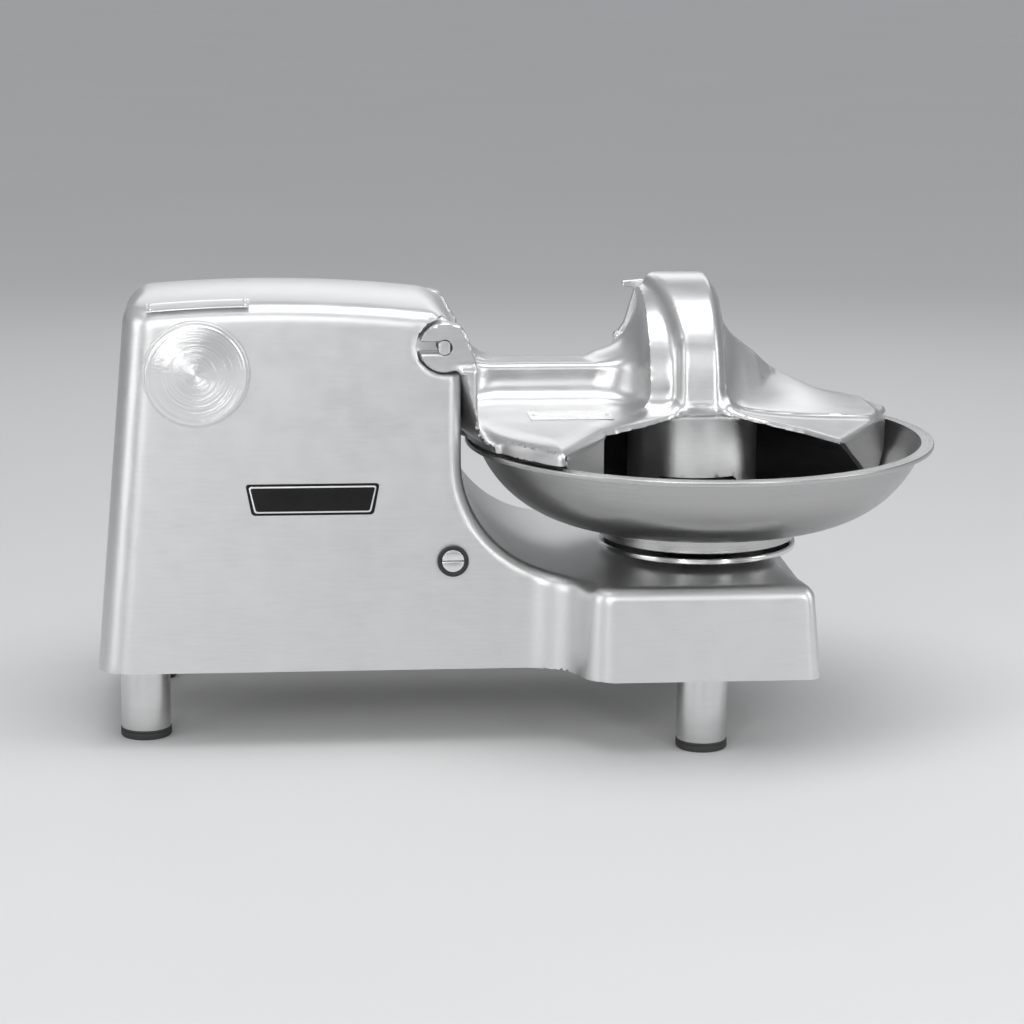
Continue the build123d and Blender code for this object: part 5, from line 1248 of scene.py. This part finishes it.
def tapered(top_half, bottom_half, half_height, corner):
    """A plate outline a little wider at the top."""
    corners = [(-bottom_half, -half_height), (bottom_half, -half_height)]
    corners += [(top_half, half_height), (-top_half, half_height)]
    return soften_corners(corners, corner, True, 6)


badge_plate = prism("badge_plate", tapered(66.0, 60.0, 15.6, 4.0), 0.0, 0.8, BADGE, enamel, 0.3)
settle(badge_plate, "base", "plate_metal", "front_plate")
badge_line = prism("badge_line", tapered(63.0, 57.2, 13.2, 3.0), 0.5, 1.0, BADGE, plate_metal, 0.15)
settle(badge_line, "base", "plate_metal")
badge_field = prism("badge_field", tapered(61.4, 55.8, 11.7, 2.4), 0.6, 1.15, BADGE, enamel, 0.15)
settle(badge_field, "base", "plate_metal")

# %% Roof plate, shelf plate and their rivets
roof_plate = softened("roof_plate", "top_plate", plate_metal, 0.3)
settle(roof_plate, "base", "plate_metal", "top_plate")
shelf_plate = softened("shelf_plate", "cover_plate", plate_metal, 0.3)
settle(shelf_plate, "cover", "plate_metal", "cover_plate")


def roof_height(x, y):
    """Height of the crowned roof above a drawing place."""
    z = 440.0
    for _ in range(6):
        z -= float(crowned_roof(x, y, z))
    return z


def rivet_shape():
    """A domed rivet head with a thin collar."""
    dome = [(0, 1.1), (0.9, 0.98), (1.5, 0.66), (1.75, 0.3), (2.0, 0.22), (2.0, -0.3), (0, -0.3)]
    return shape_at_origin("rivet_shape", [(dome, False)], 24)


roof_places = [(-508 + sx * 46.0, -84 + sy * 5.5) for sx in (-1, 1) for sy in (-1, 1)]
roof_places = [(x, y, roof_height(x, y) + 1.25) for x, y in roof_places]
roof_rivets = copies("roof_rivets", rivet_shape(), roof_places, zinc_metal, (math.radians(16.0), 0, 0))
settle(roof_rivets, "base", "machined_steel", "housing_plate_rivets")
shelf_places = [(-134.0 + sx * 37.5, -13.0, 315.2) for sx in (-1, 1)]
shelf_rivets = copies("shelf_rivets", rivet_shape(), shelf_places, zinc_metal)
settle(shelf_rivets, "cover", "machined_steel", "cover_plate_rivets")

# %% [markdown]
# ## Latch and hinge pins
#
# A lever with a flat thumb piece turns between two ears on the hood. The ears are part
# of the cover casting, so they ride with it. The hinge pins have two flats, and the
# open slots of the lugs pass over the flats when the cover stands upright.

# %% Latch and pins
LATCH_X, LATCH_Z = -64.0, 369.0
ear_outline = [(-6, -29), (6, -29), (6, 0)] + arc_run((0, 0), 6.0, 0, 180, 16)[1:-1] + [(-6, 0)]
for place, start in (("front", 145.5), ("rear", 160.5)):
    plane = Matrix.Translation((LATCH_X, start, LATCH_Z)) @ Matrix.Rotation(math.radians(90), 4, "X")
    ear = prism("latch_ear_" + place, ear_outline, -4.0, 0.0, plane, cover_metal, 0.6)
    settle(ear, "cover", "burnished_aluminium")
lever_run = [(-4.5, 2), (4.5, 2), (14, 16), (26, 52), (25.5, 62), (2, 60), (2, 54.5), (16, 53), (5, 16)]
lever_plane = Matrix.Translation((LATCH_X, 150.0, LATCH_Z)) @ Matrix.Rotation(math.radians(90), 4, "X")
lever_outline = soften_corners(lever_run, 2.5, True, 4)
lever = prism("latch_lever_arm", lever_outline, -10.0, 0.0, lever_plane, fitting_metal, 1.0)
boss_corners = soften_corners([(2.55, 150.0), (6.5, 150.0), (6.5, 160.0), (2.55, 160.0)], 0.8)
lever_boss = spun("latch_lever_boss", [(boss_corners, True)], (LATCH_X, 0, LATCH_Z), "Y", fitting_metal, 48)
settle(lever_boss, "latch", "burnished_aluminium")
settle(lever, "latch", "burnished_aluminium", "latch_lever")
pins = softened("hinge_pins_soft", "hinge_pins", zinc_metal, 0.5)
settle(pins, "base", "machined_steel", "hinge_pins")

# %% [markdown]
# ## Knives and their arm
#
# Two curved blades stand behind each other on the knife shaft, clamped by a nut. They
# are ground bright. The arm that carries them is a turned tube. These show when the
# cover is raised, so they get soft edges and their own finishes too.

# %% Knives, nut, sleeve and arm
for node, piece_name, metal, width in (
    ("knife_blade_inner", "inner_knife", blade_metal, 0.4),
    ("knife_blade_outer", "outer_knife", blade_metal, 0.4),
    ("knife_nut", "knife_clamp_nut", shaft_metal, 0.8),
    ("knife_hub_sleeve", "knife_sleeve", shaft_metal, 0.6),
):
    knife_part = softened(piece_name, node, metal, width)
    settle(knife_part, "knife_drive", "knife_steel", node)
arm = softened("knife_arm_tube", "knife_arm", shaft_metal, 1.2)
settle(arm, "base", "burnished_aluminium", "knife_arm")
comb = softened("comb_plate_soft", "comb_plate", blade_metal, 0.4)
settle(comb, "cover", "knife_steel", "comb_plate")

# %% [markdown]
# ## Underside and back
#
# Pan-head screws hold the bottom plate. They are copies of one head with a round
# recess sunk in it. At the back a black nylon gland takes the cord in.

# %% Screws and gland
def screw_shape():
    """A pan-head screw, head down, with a round recess."""
    head = [(0, -1.2), (1.5, -1.2), (1.7, -3.0), (3.6, -2.9), (4.7, -2.1), (5.0, -0.9), (5.0, 0), (2.5, 0), (2.5, 2.0), (0, 2.0)]
    return shape_at_origin("screw_shape", [(soften_corners(head, 0.3, False), False)], 32)


SCREW_PLACES = [(-597.0, -58.0, 80.0), (-597.0, 165.0, 80.0), (17.3, -138.0, 80.0), (17.3, 165.0, 80.0)]
screws = copies("bottom_screws", screw_shape(), SCREW_PLACES, zinc_metal)
settle(screws, "base", "machined_steel", "bottom_cover_screws")
gland = softened("cord_gland", "cable_gland", plastic, 0.5)
settle(gland, "base", "black_plastic", "cable_gland")

# %% [markdown]
# ## Everything inside
#
# Motor, belt, gears and bearings are hidden, but a part that may be opened or cut
# away should look right there too. Their shapes in the construction model are already
# those of plain machined parts, so they only need their own finishes.

# %% Finishes for the inner parts
wheel_metal = ringed("machined_wheel_steel", 0.46, shaft_axis, "X", 0.0014, 0.34)
spindle_metal = ringed("machined_spindle_steel", 0.50, bowl_axis, "Z", 0.0014, 0.32)
INNER_FINISH = {
    zinc_metal: ["bottom_cover", "gear_frame", "bearing_posts", "worm_post"],
    spindle_metal: ["bowl_drive_pins", "bowl_spindle", "spindle_bearings"],
    bronze_metal: ["bowl_worm_wheel", "hub_worm_wheel"],
    wheel_metal: ["worm_shaft", "worm_bearings", "reduction_gear", "motor_pinion", "motor_shaft"],
    shaft_metal: ["knife_bearings", "knife_shaft", "hub_shaft", "latch_pin"],
    iron_metal: ["motor_pulley", "knife_pulley", "motor_cradle"],
    motor_paint: ["motor_body"],
    rubber: ["drive_belt", "arm_shaft_seal"],
    fitting_metal: ["hub_socket"],
    plastic: ["switch_box", "interlock_switch"],
}
for finish, names in INNER_FINISH.items():
    for name in names:
        for place in cad_nodes[name].material_slots:
            place.material = finish
painted = {name for names in INNER_FINISH.values() for name in names}
print("finished inner parts:", len(painted))

# %% [markdown]
# ## Floor
#
# A wide plain floor catches one soft shadow, which is what makes the machine stand
# rather than float.

# %% Floor
floor_mesh = bpy.data.meshes.new("studio_floor")
reach = 40.0
floor_mesh.from_pydata([(-reach, -reach, 0), (reach, -reach, 0), (reach, reach, 0), (-reach, reach, 0)], [], [(0, 1, 2, 3)])
floor = bpy.data.objects.new("studio_floor", floor_mesh)
bpy.context.scene.collection.objects.link(floor)
floor_paint = Finish("studio_floor_paint")
floor_cloud = floor_paint.grain(floor_paint.place(), 1.5, 2.0)
floor_tone = floor_paint.blend(floor_cloud, grey(0.66), grey(0.69))
floor_mesh.materials.append(floor_paint.finish(floor_tone, 0.7, 0.0))
print("floor reaches", reach, "m each way")
